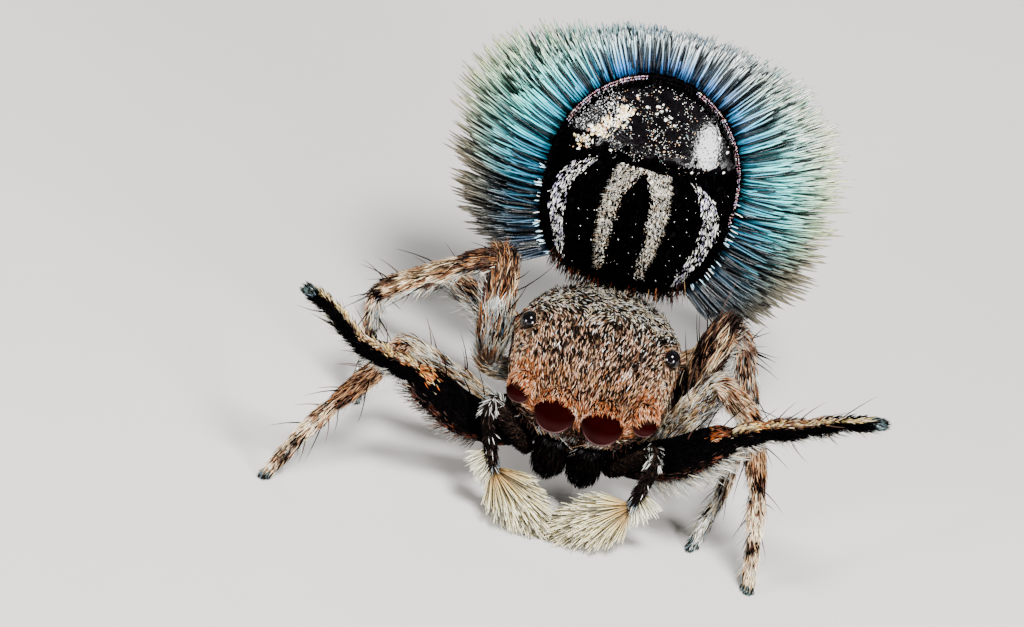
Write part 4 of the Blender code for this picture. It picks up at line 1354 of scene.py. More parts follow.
BLACK_VELVET = palette(jet=0.88, black=0.12)
DARK_STREAKS = palette(sand=0.12, tan=0.10, orange_tan=0.04, brown=0.18, dark_brown=0.28, black=0.28)
TAN_STREAKS = palette(cream=0.24, sand=0.18, orange_tan=0.04, tan=0.10, brown=0.16, soot=0.12, black=0.16)
CREAM_STREAKS = palette(white=0.06, cream=0.38, pink_cream=0.14, sand=0.10, tan=0.08, brown=0.08, black=0.16)
GREY_STREAKS = palette(white=0.10, silver=0.28, cream=0.12, blue_grey=0.06, grey=0.16, brown=0.12, soot=0.16)
MIXED_STREAKS = palette(cream=0.24, silver=0.24, sand=0.10, olive=0.12, brown=0.12, soot=0.18)
SEA_STREAKS = palette(white=0.06, silver=0.42, cream=0.12, blue_grey=0.10, steel_blue=0.02, tan=0.12, soot=0.16)
PALE_FRINGE = palette(white=0.28, silver=0.36, cream=0.12, grey=0.24)
STRIPE_CREAM = palette(yellow_cream=0.42, cream=0.38, tan=0.12, brown=0.08)
RUSTY = palette(sand=0.12, orange=0.24, deep_orange=0.26, brown=0.12, black=0.26)
GOLDEN = palette(yellow_cream=0.22, cream=0.10, orange_tan=0.28, orange=0.20, brown=0.10, black=0.10)
BURNT_EDGE = palette(orange_tan=0.16, tan=0.10, brown=0.34, dark_brown=0.40)
OLIVE_STREAKS = palette(cream=0.24, sand=0.14, olive=0.18, brown=0.20, soot=0.24)


def leg_coats(number: int, side: str) -> dict[Article, ArticleCoat]:
    """The coat of each article of one leg."""
    if number == 1:
        return {
            Article.COXA: ArticleCoat(BLACK_VELVET, BLACK_VELVET, BLACK_VELVET, 0.07),
            Article.FEMUR: ArticleCoat(BLACK_VELVET, BLACK_VELVET, palette(
                deep_orange=0.10, dark_brown=0.30, black=0.60), 0.075, 0.16),
            Article.PATELLA: ArticleCoat(BLACK_VELVET, BLACK_VELVET, BLACK_VELVET, 0.085, 0.2),
            Article.TIBIA: ArticleCoat(BLACK_VELVET, BLACK_VELVET, BLACK_VELVET, 0.10, 0.38),
            Article.METATARSUS: ArticleCoat(BLACK_VELVET, BLACK_VELVET, BLACK_VELVET, 0.10, 0.45),
            Article.TARSUS: ArticleCoat(BLACK_VELVET, BLACK_VELVET, BLACK_VELVET, 0.095, 0.42),
        }
    if number == 2:
        return {
            Article.COXA: ArticleCoat(DARK_STREAKS, DARK_STREAKS, DARK_STREAKS, 0.12),
            Article.FEMUR: ArticleCoat(MIXED_STREAKS, MIXED_STREAKS, GREY_STREAKS, 0.19, 0.2),
            Article.PATELLA: ArticleCoat(palette(cream=0.46, pink_cream=0.14, sand=0.10, orange_tan=0.12,
                                                 brown=0.10, black=0.08), CREAM_STREAKS, GREY_STREAKS,
                                         0.13, 0.3),
            Article.TIBIA: ArticleCoat(palette(sand=0.26, tan=0.12, orange_tan=0.08, brown=0.20, black=0.34),
                                       palette(cream=0.24, sand=0.2, tan=0.08, brown=0.16, black=0.32),
                                       GREY_STREAKS, 0.13, 0.25),
            Article.METATARSUS: ArticleCoat(CREAM_STREAKS, CREAM_STREAKS, GREY_STREAKS, 0.12, 0.3),
            Article.TARSUS: ArticleCoat(palette(white=0.16, cream=0.46, sand=0.12, brown=0.12, soot=0.14),
                                        CREAM_STREAKS, PALE_FRINGE, 0.11, 0.28),
        }
    if number == 3:
        return {
            Article.COXA: ArticleCoat(DARK_STREAKS, DARK_STREAKS, DARK_STREAKS, 0.12),
            Article.FEMUR: ArticleCoat(SEA_STREAKS, SEA_STREAKS, DARK_STREAKS, 0.24, 0.16),
            Article.PATELLA: ArticleCoat(palette(sand=0.20, orange_tan=0.12, brown=0.36, soot=0.32),
                                         DARK_STREAKS, GREY_STREAKS, 0.14, 0.25),
            Article.TIBIA: ArticleCoat(OLIVE_STREAKS, TAN_STREAKS, GREY_STREAKS, 0.15, 0.22),
            Article.METATARSUS: ArticleCoat(CREAM_STREAKS, GREY_STREAKS, GREY_STREAKS, 0.13, 0.28),
            Article.TARSUS: ArticleCoat(GREY_STREAKS, PALE_FRINGE, GREY_STREAKS, 0.11, 0.28),
        }
    return {
        Article.COXA: ArticleCoat(DARK_STREAKS, DARK_STREAKS, DARK_STREAKS, 0.12),
        Article.FEMUR: ArticleCoat(TAN_STREAKS, GREY_STREAKS, GREY_STREAKS, 0.15, 0.22),
        Article.PATELLA: ArticleCoat(TAN_STREAKS, GREY_STREAKS, GREY_STREAKS, 0.13, 0.26),
        Article.TIBIA: ArticleCoat(TAN_STREAKS, GREY_STREAKS, PALE_FRINGE, 0.13, 0.26),
        Article.METATARSUS: ArticleCoat(GREY_STREAKS, PALE_FRINGE, PALE_FRINGE, 0.12, 0.28),
        Article.TARSUS: ArticleCoat(PALE_FRINGE, PALE_FRINGE, GREY_STREAKS, 0.10, 0.28),
    }


@dataclass
class Leg:
    """One leg: its sheet of hide, streaked coat, ventral fringe, spines and foot."""

    number: int
    side: str
    hairs: int = 5200
    fringe_hairs: int = 420
    tuft_hairs: int = 170
    hair_width: float = 0.0115

    def limb(self) -> Limb:
        """The leg's tube."""
        femur, patella, tibia, metatarsus, tarsus = LEG_RADII[self.number]
        coxa = femur * COXA_SHARE[self.number]
        base, trochanter, knee, *rest = LEG_JOINTS[self.number, self.side]
        sag = np.array([0.0, 0.0, FEMUR_SAG[self.number]])
        middle = tuple((np.array(trochanter) + np.array(knee)) / 2 - sag)
        radii = ((0, coxa * 0.85), (0.4, coxa), (1, coxa * 0.9), (1.25, femur * 0.82),
                 (1.6, femur * 0.97), (2, femur), (2.5, femur * 0.94), (2.8, femur * 0.85),
                 (3, patella * 0.84), (3.12, patella * 0.92), (3.45, patella), (3.8, patella * 0.93),
                 (4, tibia * 0.84), (4.12, tibia * 0.92), (4.45, tibia), (4.8, tibia * 0.93),
                 (5, metatarsus * 0.86), (5.12, metatarsus * 0.92), (5.45, metatarsus),
                 (5.8, metatarsus * 0.93), (6, tarsus * 0.88), (6.12, tarsus * 0.95), (6.5, tarsus),
                 (6.82, tarsus * 0.9), (7, tarsus * 0.62))
        return Limb((base, trochanter, middle, knee, *rest), radii)

    def nodes(self) -> tuple[str, ...]:
        """The names of the solids that the hide replaces."""
        return tuple(f"leg{self.number}_{self.side}_{part}" for part in ("thigh", "shin", "foot"))

    def tones(self, roots: Roots, stray: Array, chance: Array) -> tuple[Array, Array, Array]:
        """The colour, length and lift of the hair at each root.

        Args:
            roots: where the hairs grow.
            stray: blurs the borders between the markings.
            chance: picks the tone from each palette, from 0 to 1.

        Returns:
            Colours, lengths and lifts, one for each root.
        """
        colours = np.zeros((len(roots), 3))
        lengths, lifts = np.zeros(len(roots)), np.zeros(len(roots))
        dorsal = np.sin(roots.turn) + 0.18 * stray
        value = roots.value + (0.07 if self.number == 1 else 0.05) * stray
        for article, coat in leg_coats(self.number, self.side).items():
            start, end = article.value
            here = (value >= start) & (value < end)
            here |= (value < 0) & (start == 0) | (value >= 7) & (end == 7)
            for tones, zone in ((coat.above, dorsal > 0.35), (coat.below, dorsal < -0.55),
                                (coat.beside, (dorsal <= 0.35) & (dorsal >= -0.55))):
                chosen = here & zone
                colours[chosen] = tones.pick(chance[chosen])
            lengths[here], lifts[here] = coat.length, coat.lift
        if self.number == 1:
            front = np.cos(roots.turn) * (1 if self.side == "left" else -1)
            rise = np.degrees(np.arctan2(np.sin(roots.turn), front)) + 9 * stray
            self.mark_first_leg(colours, rise, value, chance)
        else:
            self.mark_walking_leg(colours, dorsal, value, chance)
        return colours, lengths, lifts

    def mark_first_leg(self, colours: Array, rise: Array, value: Array, chance: Array) -> None:
        """The rusty knee and the broken cream stripe of the first pair.

        Args:
            colours: the colours so far, which are changed.
            rise: the angle round the leg in degrees: 0 at the front, 90 on top.
            value: how far along the leg each root lies.
            chance: picks the tone from each palette.
        """
        knee = (value > 2.74) & (value < 3.03) & (np.abs(rise - 72) < 50)
        colours[knee] = (RUSTY if self.side == "left" else GOLDEN).pick(chance[knee])
        low, high = (34, 68) if self.side == "left" else (50, 100)
        shin = (value > 3.12) & (value < 6.72)
        burnt = shin & (rise > low - 12) & (rise < high + (34 if self.side == "left" else 0))
        burnt &= value < 5.6
        colours[burnt] = BURNT_EDGE.pick(chance[burnt])
        stripe = shin & (rise > low) & (rise < high)
        for joint in (4.05, 5.0, 6.0):
            stripe &= np.abs(value - joint) > 0.06
        colours[stripe] = STRIPE_CREAM.pick(chance[stripe])
        tip = value > 6.76
        colours[tip] = palette(sea_grey=0.34, blue_grey=0.10, black=0.56).pick(chance[tip])

    def mark_walking_leg(self, colours: Array, dorsal: Array, value: Array, chance: Array) -> None:
        """The dark joints, and the brown far half of the third femur."""
        if self.number == 3:
            far = (value > 2.15) & (value < 3.05)
            brown = palette(cream=0.08, sand=0.10, orange_tan=0.08, brown=0.16, dark_brown=0.26, soot=0.16,
                            black=0.16)
            colours[far] = brown.pick(chance[far])
            near = value <= 1.25
            colours[near] = palette(silver=0.45, cream=0.3, tan=0.15, brown=0.1).pick(chance[near])
            if self.side == "left":
                dark = (value > 1.0) & (value <= 5.0)
                umber = palette(cream=0.06, sand=0.06, tan=0.06, brown=0.06, dark_brown=0.20, soot=0.16,
                                black=0.40)
                colours[dark] = umber.pick(chance[dark])
                cap = (value > 2.78) & (value < 3.14)
                colours[cap] = palette(dark_brown=0.4, black=0.6).pick(chance[cap])
                shin = (value > 3.12) & (value < 5.0)
                colours[shin] = palette(silver=0.12, sand=0.16, grey=0.14, brown=0.28, soot=0.30).pick(
                    chance[shin])
        for joint, reach in ((5.0, 0.06), (6.0, 0.04)):
            dark = (np.abs(value - joint + 0.02) < reach) & (dorsal > -0.5)
            colours[dark] = palette(cream=0.10, brown=0.15, soot=0.30, black=0.45).pick(chance[dark])
        tip = value > 6.86
        colours[tip] = palette(sea_grey=0.5, grey=0.2, soot=0.3).pick(chance[tip])

    def paint(self, patch: Patch) -> None:
        """Gives the hide the coat's own markings, darker."""
        roots = patch.flat_roots()
        chance = ranked(Mottle(0.05, 17 + self.number).at(roots.places))
        patch.tints = self.tones(roots, np.zeros(len(roots)), chance)[0] * 0.32

    def body_hair(self, draw: np.random.Generator) -> tuple[Hair, HairShape]:
        """The coat that lies along the leg."""
        roots = self.limb().patch(COAT_DEPTH, closed_tip=False).scatter(self.hairs, draw)
        roots = roots.keep(roots.value > 0.55)
        count = len(roots)
        clumps = Mottle(0.09, 40 + self.number).at(roots.places)
        chance = 1 - ranked(clumps * 0.9 + draw.normal(0, 1, count))
        colours, lengths, lifts = self.tones(roots, draw.normal(0, 1, count), chance)
        colours *= column(draw.uniform(0.85, 1.4, count))
        lengths *= draw.uniform(0.5, 1.1, count)
        ways = lie(roots, roots.along, lifts, 0.18, draw)
        widths = self.hair_width * draw.uniform(0.65, 1.15, count)
        bends = -roots.normals * column(lengths * 0.12)
        return Hair(roots, ways, lengths, widths, shaded(colours, 0.55), bends), LONG_HAIR

    def fringe(self, draw: np.random.Generator) -> tuple[Hair, HairShape]:
        """The longer, paler hairs that hang from the underside."""
        def underside(places: Array, value: Array) -> Array:
            """Where they grow."""
            return np.where((value > 1.3) & (value < 6.6), 1.0, 0.0)

        first = self.number == 1
        roots = self.limb().patch(COAT_DEPTH, closed_tip=False).scatter(
            self.fringe_hairs * (6 if first else 3), draw, underside)
        roots = roots.keep(np.sin(roots.turn) < -0.80)
        count = len(roots)
        tones = PALE_FRINGE.pick(draw.random(count))
        thigh = roots.value < 2.9
        if first and self.side == "right":
            tones[thigh] = palette(silver=0.15, grey=0.25, brown=0.40, soot=0.20).pick(
                draw.random(thigh.sum()))
        thigh_length = 0.13 if not first else 0.20 if self.side == "left" else 0.13
        lengths = np.where(thigh, thigh_length, 0.12) * draw.uniform(0.55, 1.25, count)
        ways = lie(roots, roots.along, np.where(thigh, 0.95, 0.75), 0.30, draw)
        bends = roots.along * column(lengths * 0.25)
        widths = np.where(thigh & first, 0.0105, 0.0080)
        return Hair(roots, ways, lengths, widths, shaded(tones, 0.7), bends), LONG_HAIR

    def spines(self, draw: np.random.Generator) -> tuple[Hair, HairShape]:
        """The long dark spines, in loose rows on every article."""
        patch = self.limb().patch(COAT_DEPTH, closed_tip=False)
        normal, along, around = patch.frames()
        columns = patch.points.shape[1]
        picks = []
        for start, end, count, turns in ((1.5, 3.0, 6, (60, 100, 140)), (3.2, 3.9, 2, (40, 140)),
                                         (4.1, 5.0, 8, (20, 90, 160, 230, 310)),
                                         (5.1, 6.0, 7, (10, 170, 240, 300))):
            for k in range(count):
                value = start + (end - start) * (k + draw.uniform(0.2, 0.8)) / count
                turn = math.radians(turns[k % len(turns)] + draw.uniform(-14, 14))
                row = int(np.argmin(np.abs(patch.value - value)))
                picks.append((row, int(turn / (2 * math.pi) * columns) % columns))
        rows, cols = np.array(picks).T
        spots = np.stack([cols / columns, rows / len(patch.value)], -1) * 0.96 + 0.01
        roots = Roots(patch.points[rows, cols] - normal[rows, cols] * 0.02, normal[rows, cols],
                      along[rows, cols], around[rows, cols], patch.value[rows], cols * 1.0, spots)
        count = len(roots)
        lengths = np.where(roots.value < 3.0, 0.30, 0.26) * draw.uniform(0.7, 1.45, count)
        ways = lie(roots, roots.along, 0.85, 0.2, draw)
        tones = palette(black=0.6, dark_brown=0.4).pick(draw.random(count))
        bends = roots.along * column(lengths * 0.35)
        return Hair(roots, ways, lengths, np.full(count, 0.0135), shaded(tones, 1.0, 1.6), bends), SPINE

    def foot_tuft(self, draw: np.random.Generator) -> tuple[Hair, HairShape]:
        """The dense dark tuft round the claws."""
        roots = self.limb().patch(COAT_DEPTH, closed_tip=False).scatter(
            self.tuft_hairs, draw, lambda places, value: np.where(value > 6.8, 1.0, 0.0))
        count = len(roots)
        tones = palette(sea_grey=0.32, blue_grey=0.10, silver=0.04, soot=0.54).pick(draw.random(count))
        lengths = draw.uniform(0.05, 0.095, count)
        ways = lie(roots, roots.along, 0.42, 0.25, draw)
        return Hair(roots, ways, lengths, np.full(count, 0.012), shaded(tones), None), LONG_HAIR

    def claws(self, draw: np.random.Generator) -> tuple[Hair, HairShape]:
        """The two small hooked claws at the tip."""
        patch = self.limb().patch(COAT_DEPTH)
        normal, along, around = patch.frames()
        columns = patch.points.shape[1]
        cols = np.array([columns // 8, 3 * columns // 8])
        row = int(np.argmin(np.abs(patch.value - 6.97)))
        middle = patch.points[row].mean(0)
        places = middle + (patch.points[row, cols] - middle) * 0.5
        roots = Roots(places, normal[row, cols], along[row, cols], around[row, cols],
                      np.full(2, 7.0), np.zeros(2), np.full((2, 2), 0.95))
        down = -normal[row, columns // 4][None]
        ways = unit(along[row, cols] + 0.2 * normal[row, cols])
        tones = np.tile(Tone.SOOT.colour, (2, 1))
        return Hair(roots, ways, np.full(2, 0.075), np.full(2, 0.02), shaded(tones), down * 0.05), SPINE

    def coat(self, draw: np.random.Generator) -> tuple[Piece, Piece]:
        """All the hair of the leg, pale and dark."""
        kinds = [self.body_hair(draw), self.fringe(draw), self.spines(draw), self.foot_tuft(draw)]
        return grow_in_two(f"leg{self.number}_{self.side}_coat", kinds)


# Palps

PALP_JOINTS = {
    "left": ((0.36, 0.24, 0.45), (0.54, 0.04, 0.72), (0.74, -0.02, 1.00), (0.77, -0.18, 0.92),
             (0.68, -0.23, 0.47), (0.15, -0.30, 0.12)),
    "right": ((-0.36, 0.24, 0.45), (-0.54, 0.04, 0.74), (-0.78, 0.03, 1.04), (-0.82, -0.14, 0.98),
              (-0.63, -0.23, 0.47), (-0.15, -0.30, 0.12)),
}


@dataclass
class Palp:
    """One palp: a dark arm, silver hair at its wrist and a brush of cream hair."""

    side: str
    arm_radius: float = 0.085
    bulb_radius: float = 0.105
    brush_hairs: int = 1250
    brush_length: float = 0.36
    outer_hairs: int = 380
    outer_length: float = 0.19

    def arm(self) -> Limb:
        """The arm's tube."""
        r = self.arm_radius
        return Limb(PALP_JOINTS[self.side][:5],
                    ((0, r * 0.8), (0.5, r), (1, r), (1.5, r * 0.98), (2, r * 0.9), (3, r * 0.9),
                     (3.5, r * 0.88), (4, r * 0.8)))

    def bulb(self, inset: float) -> Patch:
        """The core that carries the brush."""
        r = self.bulb_radius
        stops = ((0, r * 0.7), (0.15, r), (0.5, r * 0.95), (0.85, r * 0.6), (1, r * 0.3))
        return Limb(PALP_JOINTS[self.side][4:], stops).patch(inset, steps=24, columns=24)

    def arm_hair(self, draw: np.random.Generator) -> tuple[Hair, HairShape]:
        """Black hair on the arm, with silver tufts at the elbow and the wrist."""
        roots = self.arm().patch(COAT_DEPTH, closed_tip=False).scatter(1700, draw)
        count = len(roots)
        tones = palette(black=0.85, soot=0.12, dark_brown=0.03).pick(draw.random(count))
        elbow = 0.45 if self.side == "right" else 0.25
        silver = (np.abs(roots.value - 2.35) < 0.62) & (draw.random(count) < elbow)
        silver |= (roots.value > 3.3) & (draw.random(count) < 0.05)
        tones[silver] = palette(white=0.35, silver=0.5, grey=0.15).pick(draw.random(silver.sum()))
        wrist = (roots.value > 3.80) & (draw.random(count) < 0.5)
        tones[wrist] = palette(silver=0.12, blue_grey=0.18, grey=0.3, soot=0.40).pick(
            draw.random(wrist.sum()))
        lengths = np.where(silver | wrist, 0.090, 0.070) * draw.uniform(0.7, 1.2, count)
        flow = roots.along + np.array([0.0, -0.2, -0.5])
        ways = lie(roots, flow, np.where(silver, 0.36, 0.3), 0.3, draw)
        return Hair(roots, ways, lengths, np.full(count, 0.0095), shaded(tones), None), LONG_HAIR

    def brush_hair(self, draw: np.random.Generator) -> list[tuple[Hair, HairShape]]:
        """The fan of cream hair, ochre at its root, and the paler tuft beside it."""
        wrist, tip = (np.array(p) for p in PALP_JOINTS[self.side][4:])
        along = unit(tip - wrist)
        core = self.bulb(0.05)
        roots = core.scatter(self.brush_hairs, draw, lambda p, v: np.where(v < 0.75, 1.0, 0.8))
        count = len(roots)
        share = np.clip(roots.value, 0.0, 1.0)
        out = unit(roots.normals - along * column(roots.normals @ along))
        outward = np.array([math.copysign(1.0, wrist[0]), 0.0, 0.0])
        lower_side = np.clip(out @ unit(outward * 0.8 + np.array([0.0, -0.2, -0.6])), 0.0, 1.0)
        splay = (0.72 - 0.48 * share + 0.75 * lower_side * (1 - share)) * draw.uniform(0.75, 1.2, count)
        ways = unit(along + out * column(splay) + draw.normal(0, 0.03, (count, 3)))
        lengths = self.brush_length * (0.98 + 0.12 * share) * draw.uniform(0.84, 1.06, count)
        umber, ochre, cream, pale = (linear(*tone) for tone in (
            (74, 46, 20), (172, 122, 54), (214, 196, 138), (240, 234, 206)))
        # Painted shade: about a third of the hairs are painted nearly black for the shadows between them, and
        # the root stops are darkened.
        dark = draw.random(count) < 0.34
        light = column(np.where(dark, draw.uniform(0.10, 0.26, count), draw.uniform(0.95, 1.35, count)))
        tones = np.stack([umber * light * 0.5, ochre * light * 0.8, cream * light, cream * light,
                          pale * light])
        bends = out * column(lengths * draw.uniform(-0.12, 0.02, count))
        brush = Hair(roots, ways, lengths, draw.uniform(0.013, 0.018, count), tones, bends)
        count = self.outer_hairs
        rise = draw.random(count)
        fall = np.radians(-112 + 88 * rise + draw.normal(0, 9, count))
        ways = outward * np.cos(fall)[:, None] + np.stack(
            [0 * fall, draw.uniform(-0.55, 0.15, count), np.sin(fall)], -1)
        elbow = np.array(PALP_JOINTS[self.side][3])
        places = wrist + (tip - wrist) * column(0.16 - 0.2 * rise) + (elbow - wrist) * column(0.28 * rise)
        places = places + outward * self.bulb_radius * 0.3 + draw.normal(0, 0.018, (count, 3))
        spots = np.stack([0.5 + 0.3 * np.cos(fall), 0.9 + 0.05 * draw.random(count)], -1)
        normals = np.tile([0.0, -1.0, 0.0], (count, 1))
        outer_roots = Roots(places, normals, normals, normals, fall, fall, spots)
        lengths = self.outer_length * draw.uniform(0.72, 1.1, count)
        light = column(draw.uniform(0.7, 1.05, count))
        tones = np.stack([linear(90, 76, 50) * light, linear(214, 204, 164) * light,
                          linear(242, 238, 218) * light])
        bends = np.array([0.0, 0.0, -0.12]) * column(lengths)
        outer = Hair(outer_roots, ways, lengths, draw.uniform(0.011, 0.015, count), tones, bends)
        return [(brush, BRUSH_HAIR), (outer, BRUSH_HAIR)]

    def build(self, arm_finish: bpy.types.Material, dark_finish: bpy.types.Material,
              brush_finish: bpy.types.Material, draw: np.random.Generator) -> None:
        """Builds the palp's coat and brush."""
        for piece, finish in zip(grow_in_two(f"palp_{self.side}_arm_coat", [self.arm_hair(draw)]),
                                 (arm_finish, dark_finish)):
            hand_over(piece, finish, "leg_coat")
        brush = grow_together(f"palp_{self.side}_brush_hair", self.brush_hair(draw))
        hand_over(brush, brush_finish, "palp_hair", f"palp_{self.side}_brush")


# Abdomen

@dataclass(frozen=True)
class AbdomenFrame:
    """The raised abdomen: across, up along the plate and out in front of it."""

    lean: float = math.radians(8)
    middle: Point = (-0.015, 1.98, 2.455)
    half_width: float = 0.88
    top_length: float = 1.08
    bottom_length: float = 1.11
    bottom_squareness: float = 2.8
    dome: float = 0.27
    dome_power: float = 2.3
    rim_step: float = 0.015
    depth: float = 0.80
    flank_swell: float = 1.03

    @property
    def up(self) -> Array:
        """Up along the plate."""
        return np.array([0.0, math.sin(self.lean), math.cos(self.lean)])

    @property
    def out(self) -> Array:
        """Out of the plate, towards the front."""
        return np.array([0.0, -math.cos(self.lean), math.sin(self.lean)])

    def rim(self, turn: Array) -> tuple[Array, Array]:
        """The plate's edge as across and along."""
        power = np.where(np.sin(turn) >= 0, 1.0, 2 / self.bottom_squareness)
        reach = np.where(np.sin(turn) >= 0, self.top_length, self.bottom_length)
        return (self.half_width * power_wave(np.cos(turn), power),
                reach * power_wave(np.sin(turn), power))

    def point(self, across: Array, along: Array, out: Array) -> Array:
        """A place in the spider's frame from one on the abdomen."""
        return (np.array(self.middle) + column(across) * np.array([1.0, 0.0, 0.0])
                + column(along) * self.up + column(out) * self.out)

    def share(self, across: Array, along: Array) -> Array:
        """How far out a place on the plate lies: 0 in the middle, 1 at the rim."""
        upper = np.hypot(across / self.half_width, along / self.top_length)
        power = self.bottom_squareness
        lower = (np.abs(across / self.half_width) ** power
                 + np.abs(along / self.bottom_length) ** power) ** (1 / power)
        return np.where(np.asarray(along) >= 0, upper, lower)

    def dome_height(self, across: Array, along: Array) -> Array:
        """How far the dome stands out of the rim's plane."""
        share = np.minimum(self.share(across, along), 1.0)
        return self.dome * (1 - share ** self.dome_power) + self.rim_step

    def on_dome(self, across: Array, along: Array, spots_in: tuple[float, float] = (0.02, 0.98)) -> Roots:
        """Roots on the dome at the given places."""
        across, along = np.asarray(across, float), np.asarray(along, float)
        step = 0.004
        slope_x = (self.dome_height(across + step, along) - self.dome_height(across - step, along)) / (2 * step)
        slope_y = (self.dome_height(across, along + step) - self.dome_height(across, along - step)) / (2 * step)
        side = np.array([1.0, 0.0, 0.0])
        normal = unit(-column(slope_x) * side - column(slope_y) * self.up + self.out)
        downward = unit(-(self.up - normal * column(normal @ self.up)))
        low, high = spots_in
        spots = np.stack([low + (high - low) * (across / self.half_width + 1) / 2,
                          low + (high - low) * (along / self.bottom_length + 1) / 2], -1)
        places = self.point(across, along, self.dome_height(across, along))
        return Roots(places, normal, downward, np.cross(normal, downward), along, across, spots)

    def flank_size(self, depth: Array) -> Array:
        """How wide the flanks are at a depth behind the plate, against the plate's edge."""
        share = np.clip(np.asarray(depth) / self.depth, 0, 1)
        return self.flank_swell * (1 - share ** 2.6) ** (1 / 2.2)


ABDOMEN = AbdomenFrame()


@dataclass
class Plate:
    """The glossy domed plate with its pale stripes, specks and beaded rim."""

    inner_stripe: tuple[Point, ...] = ((0.245, 0.120, 0.112), (0.13, 0.172, 0.096), (0.03, 0.207, 0.078),
                                       (-0.12, 0.235, 0.070), (-0.27, 0.237, 0.068), (-0.42, 0.232, 0.062),
                                       (-0.57, 0.228, 0.051), (-0.735, 0.213, 0.040), (-0.93, 0.193, 0.018))
    outer_stripe: tuple[Point, ...] = ((0.225, 0.455, 0.030), (0.10, 0.573, 0.062), (0.0, 0.632, 0.072),
                                       (-0.12, 0.688, 0.075), (-0.27, 0.703, 0.080), (-0.41, 0.698, 0.072),
                                       (-0.55, 0.665, 0.062), (-0.68, 0.615, 0.052), (-0.82, 0.572, 0.042),
                                       (-0.93, 0.540, 0.026))
    velvet_edge: float = 0.215
    polish_depth: float = 0.003
    speck_lift: float = 0.006
    glossy_lean: float = math.sin(math.radians(14.5))
    rows: int = 70
    columns: int = 144
    inner_setae: int = 1900
    outer_scales: int = 440
    velvet_scales: int = 8000
    specks: int = 1150
    rim_beads: int = 320

    def shell(self, polished: bpy.types.Material, matt: bpy.types.Material) -> None:
        """The domed shell, closed behind, with a polished skin over its upper field."""
        turn = 2 * math.pi * np.arange(self.columns) / self.columns
        rim_across, rim_along = ABDOMEN.rim(turn)
        size = np.concatenate([np.linspace(0.01, 1.0, self.rows), [1.003, 0.99, 0.6, 0.05]])
        across, along = size[:, None] * rim_across, size[:, None] * rim_along
        out = ABDOMEN.dome_height(across, along)
        out[self.rows] = 0.004
        out[self.rows + 1:] = -0.002
        patch = Patch(ABDOMEN.point(across, along, out), size)
        points, corners = patch.triangles()
        piece = new_piece("plate_shell", points, corners)
        flat = np.vstack([np.stack([across, along], -1).reshape(-1, 2), [[0, 0], [0, 0]]])
        side, height = flat[:, 0], flat[:, 1]
        glossy = np.clip((self.over_edge(side, height) - 0.035) / 0.03, 0.0, 1.0)
        glossy *= np.clip((0.975 - ABDOMEN.share(side, height)) / 0.02, 0.0, 1.0)
        scaly = np.clip(0.45 - 1.1 * side - 0.4 * (height - 0.5), 0.14, 1.0)
        jet = np.tile(Tone.JET.colour, (len(flat), 1))
        tint(piece, jet)
        hand_over(piece, matt, "shell", "abdomen_plate")
        shiny = corners[(glossy[corners] > 0.0).all(axis=1)]
        used, numbers = np.unique(shiny, return_inverse=True)
        lift = ABDOMEN.on_dome(side[used], height[used]).normals * self.polish_depth
        skin = new_piece("plate_polish", points[used] + lift, numbers.reshape(shiny.shape))
        tint(skin, jet[used])
        tint(skin, np.stack([glossy, scaly, 0 * side], -1)[used], FINISH_LAYER)
        hand_over(skin, polished, "shell")

    def over_edge(self, across: Array, along: Array) -> Array:
        """How far a place on the dome leans upwards beyond the ragged edge of the velvet."""
        ragged = 0.012 * Mottle(0.06, 31).at(np.stack([across, along, 0 * across], -1))
        return ABDOMEN.on_dome(across, along).normals[..., 2] - self.glossy_lean + ragged

    def stripe_places(self, stops: tuple[Point, ...], count: int, side: int,
                      draw: np.random.Generator) -> tuple[Array, Array, Array, Array]:
        """Random places on a stripe.

        Args:
            stops: along, across and half width down the stripe.
            count: how many places.
            side: 1 for the spider's left.
            draw: the source of chance.

        Returns:
            Across, along, place across the stripe from -1 to 1, and half width.
        """
        share = draw.random(count)
        stations = np.linspace(0, 1, len(stops))
        half_all = np.array([h for _, _, h in stops])
        cdf = np.concatenate([[0], np.cumsum((half_all[1:] + half_all[:-1]) / 2)])
        share = np.interp(share, cdf / cdf[-1], stations)
        along, middle, half = (np.interp(share, stations, [stop[k] for stop in stops]) for k in range(3))
        offset = draw.uniform(-1, 1, count)
        return side * (middle + offset * half), along, offset, half

    def inner_stripes(self, draw: np.random.Generator) -> list[tuple[Hair, HairShape]]:
        """Cream setae that lie across the two middle stripes."""
        kinds = []
        for side, _ in SIDES:
            across, along, offset, half = self.stripe_places(self.inner_stripe, self.inner_setae, side, draw)
            count = len(across)
            lengths = draw.uniform(0.045, 0.080, count)
            start = side * lengths * draw.uniform(0.3, 0.8, count)
            roots = ABDOMEN.on_dome(across - start, along + 0.012)
            flow = np.stack([np.full(count, side * 1.0), 0 * along, -0.38 + draw.normal(0, 0.12, count)], -1)
            ways = lie(roots, flow, 0.14, 0.10, draw)
            tones = palette(cream=0.30, white=0.62, sand=0.08).pick(draw.random(count))
            tones *= column(np.where(draw.random(count) < 0.10, 0.06, draw.uniform(0.85, 1.35, count)))
            kinds.append((Hair(roots, ways, lengths, draw.uniform(0.008, 0.012, count),
                               shaded(tones, 0.4), None), SETA))
        return kinds

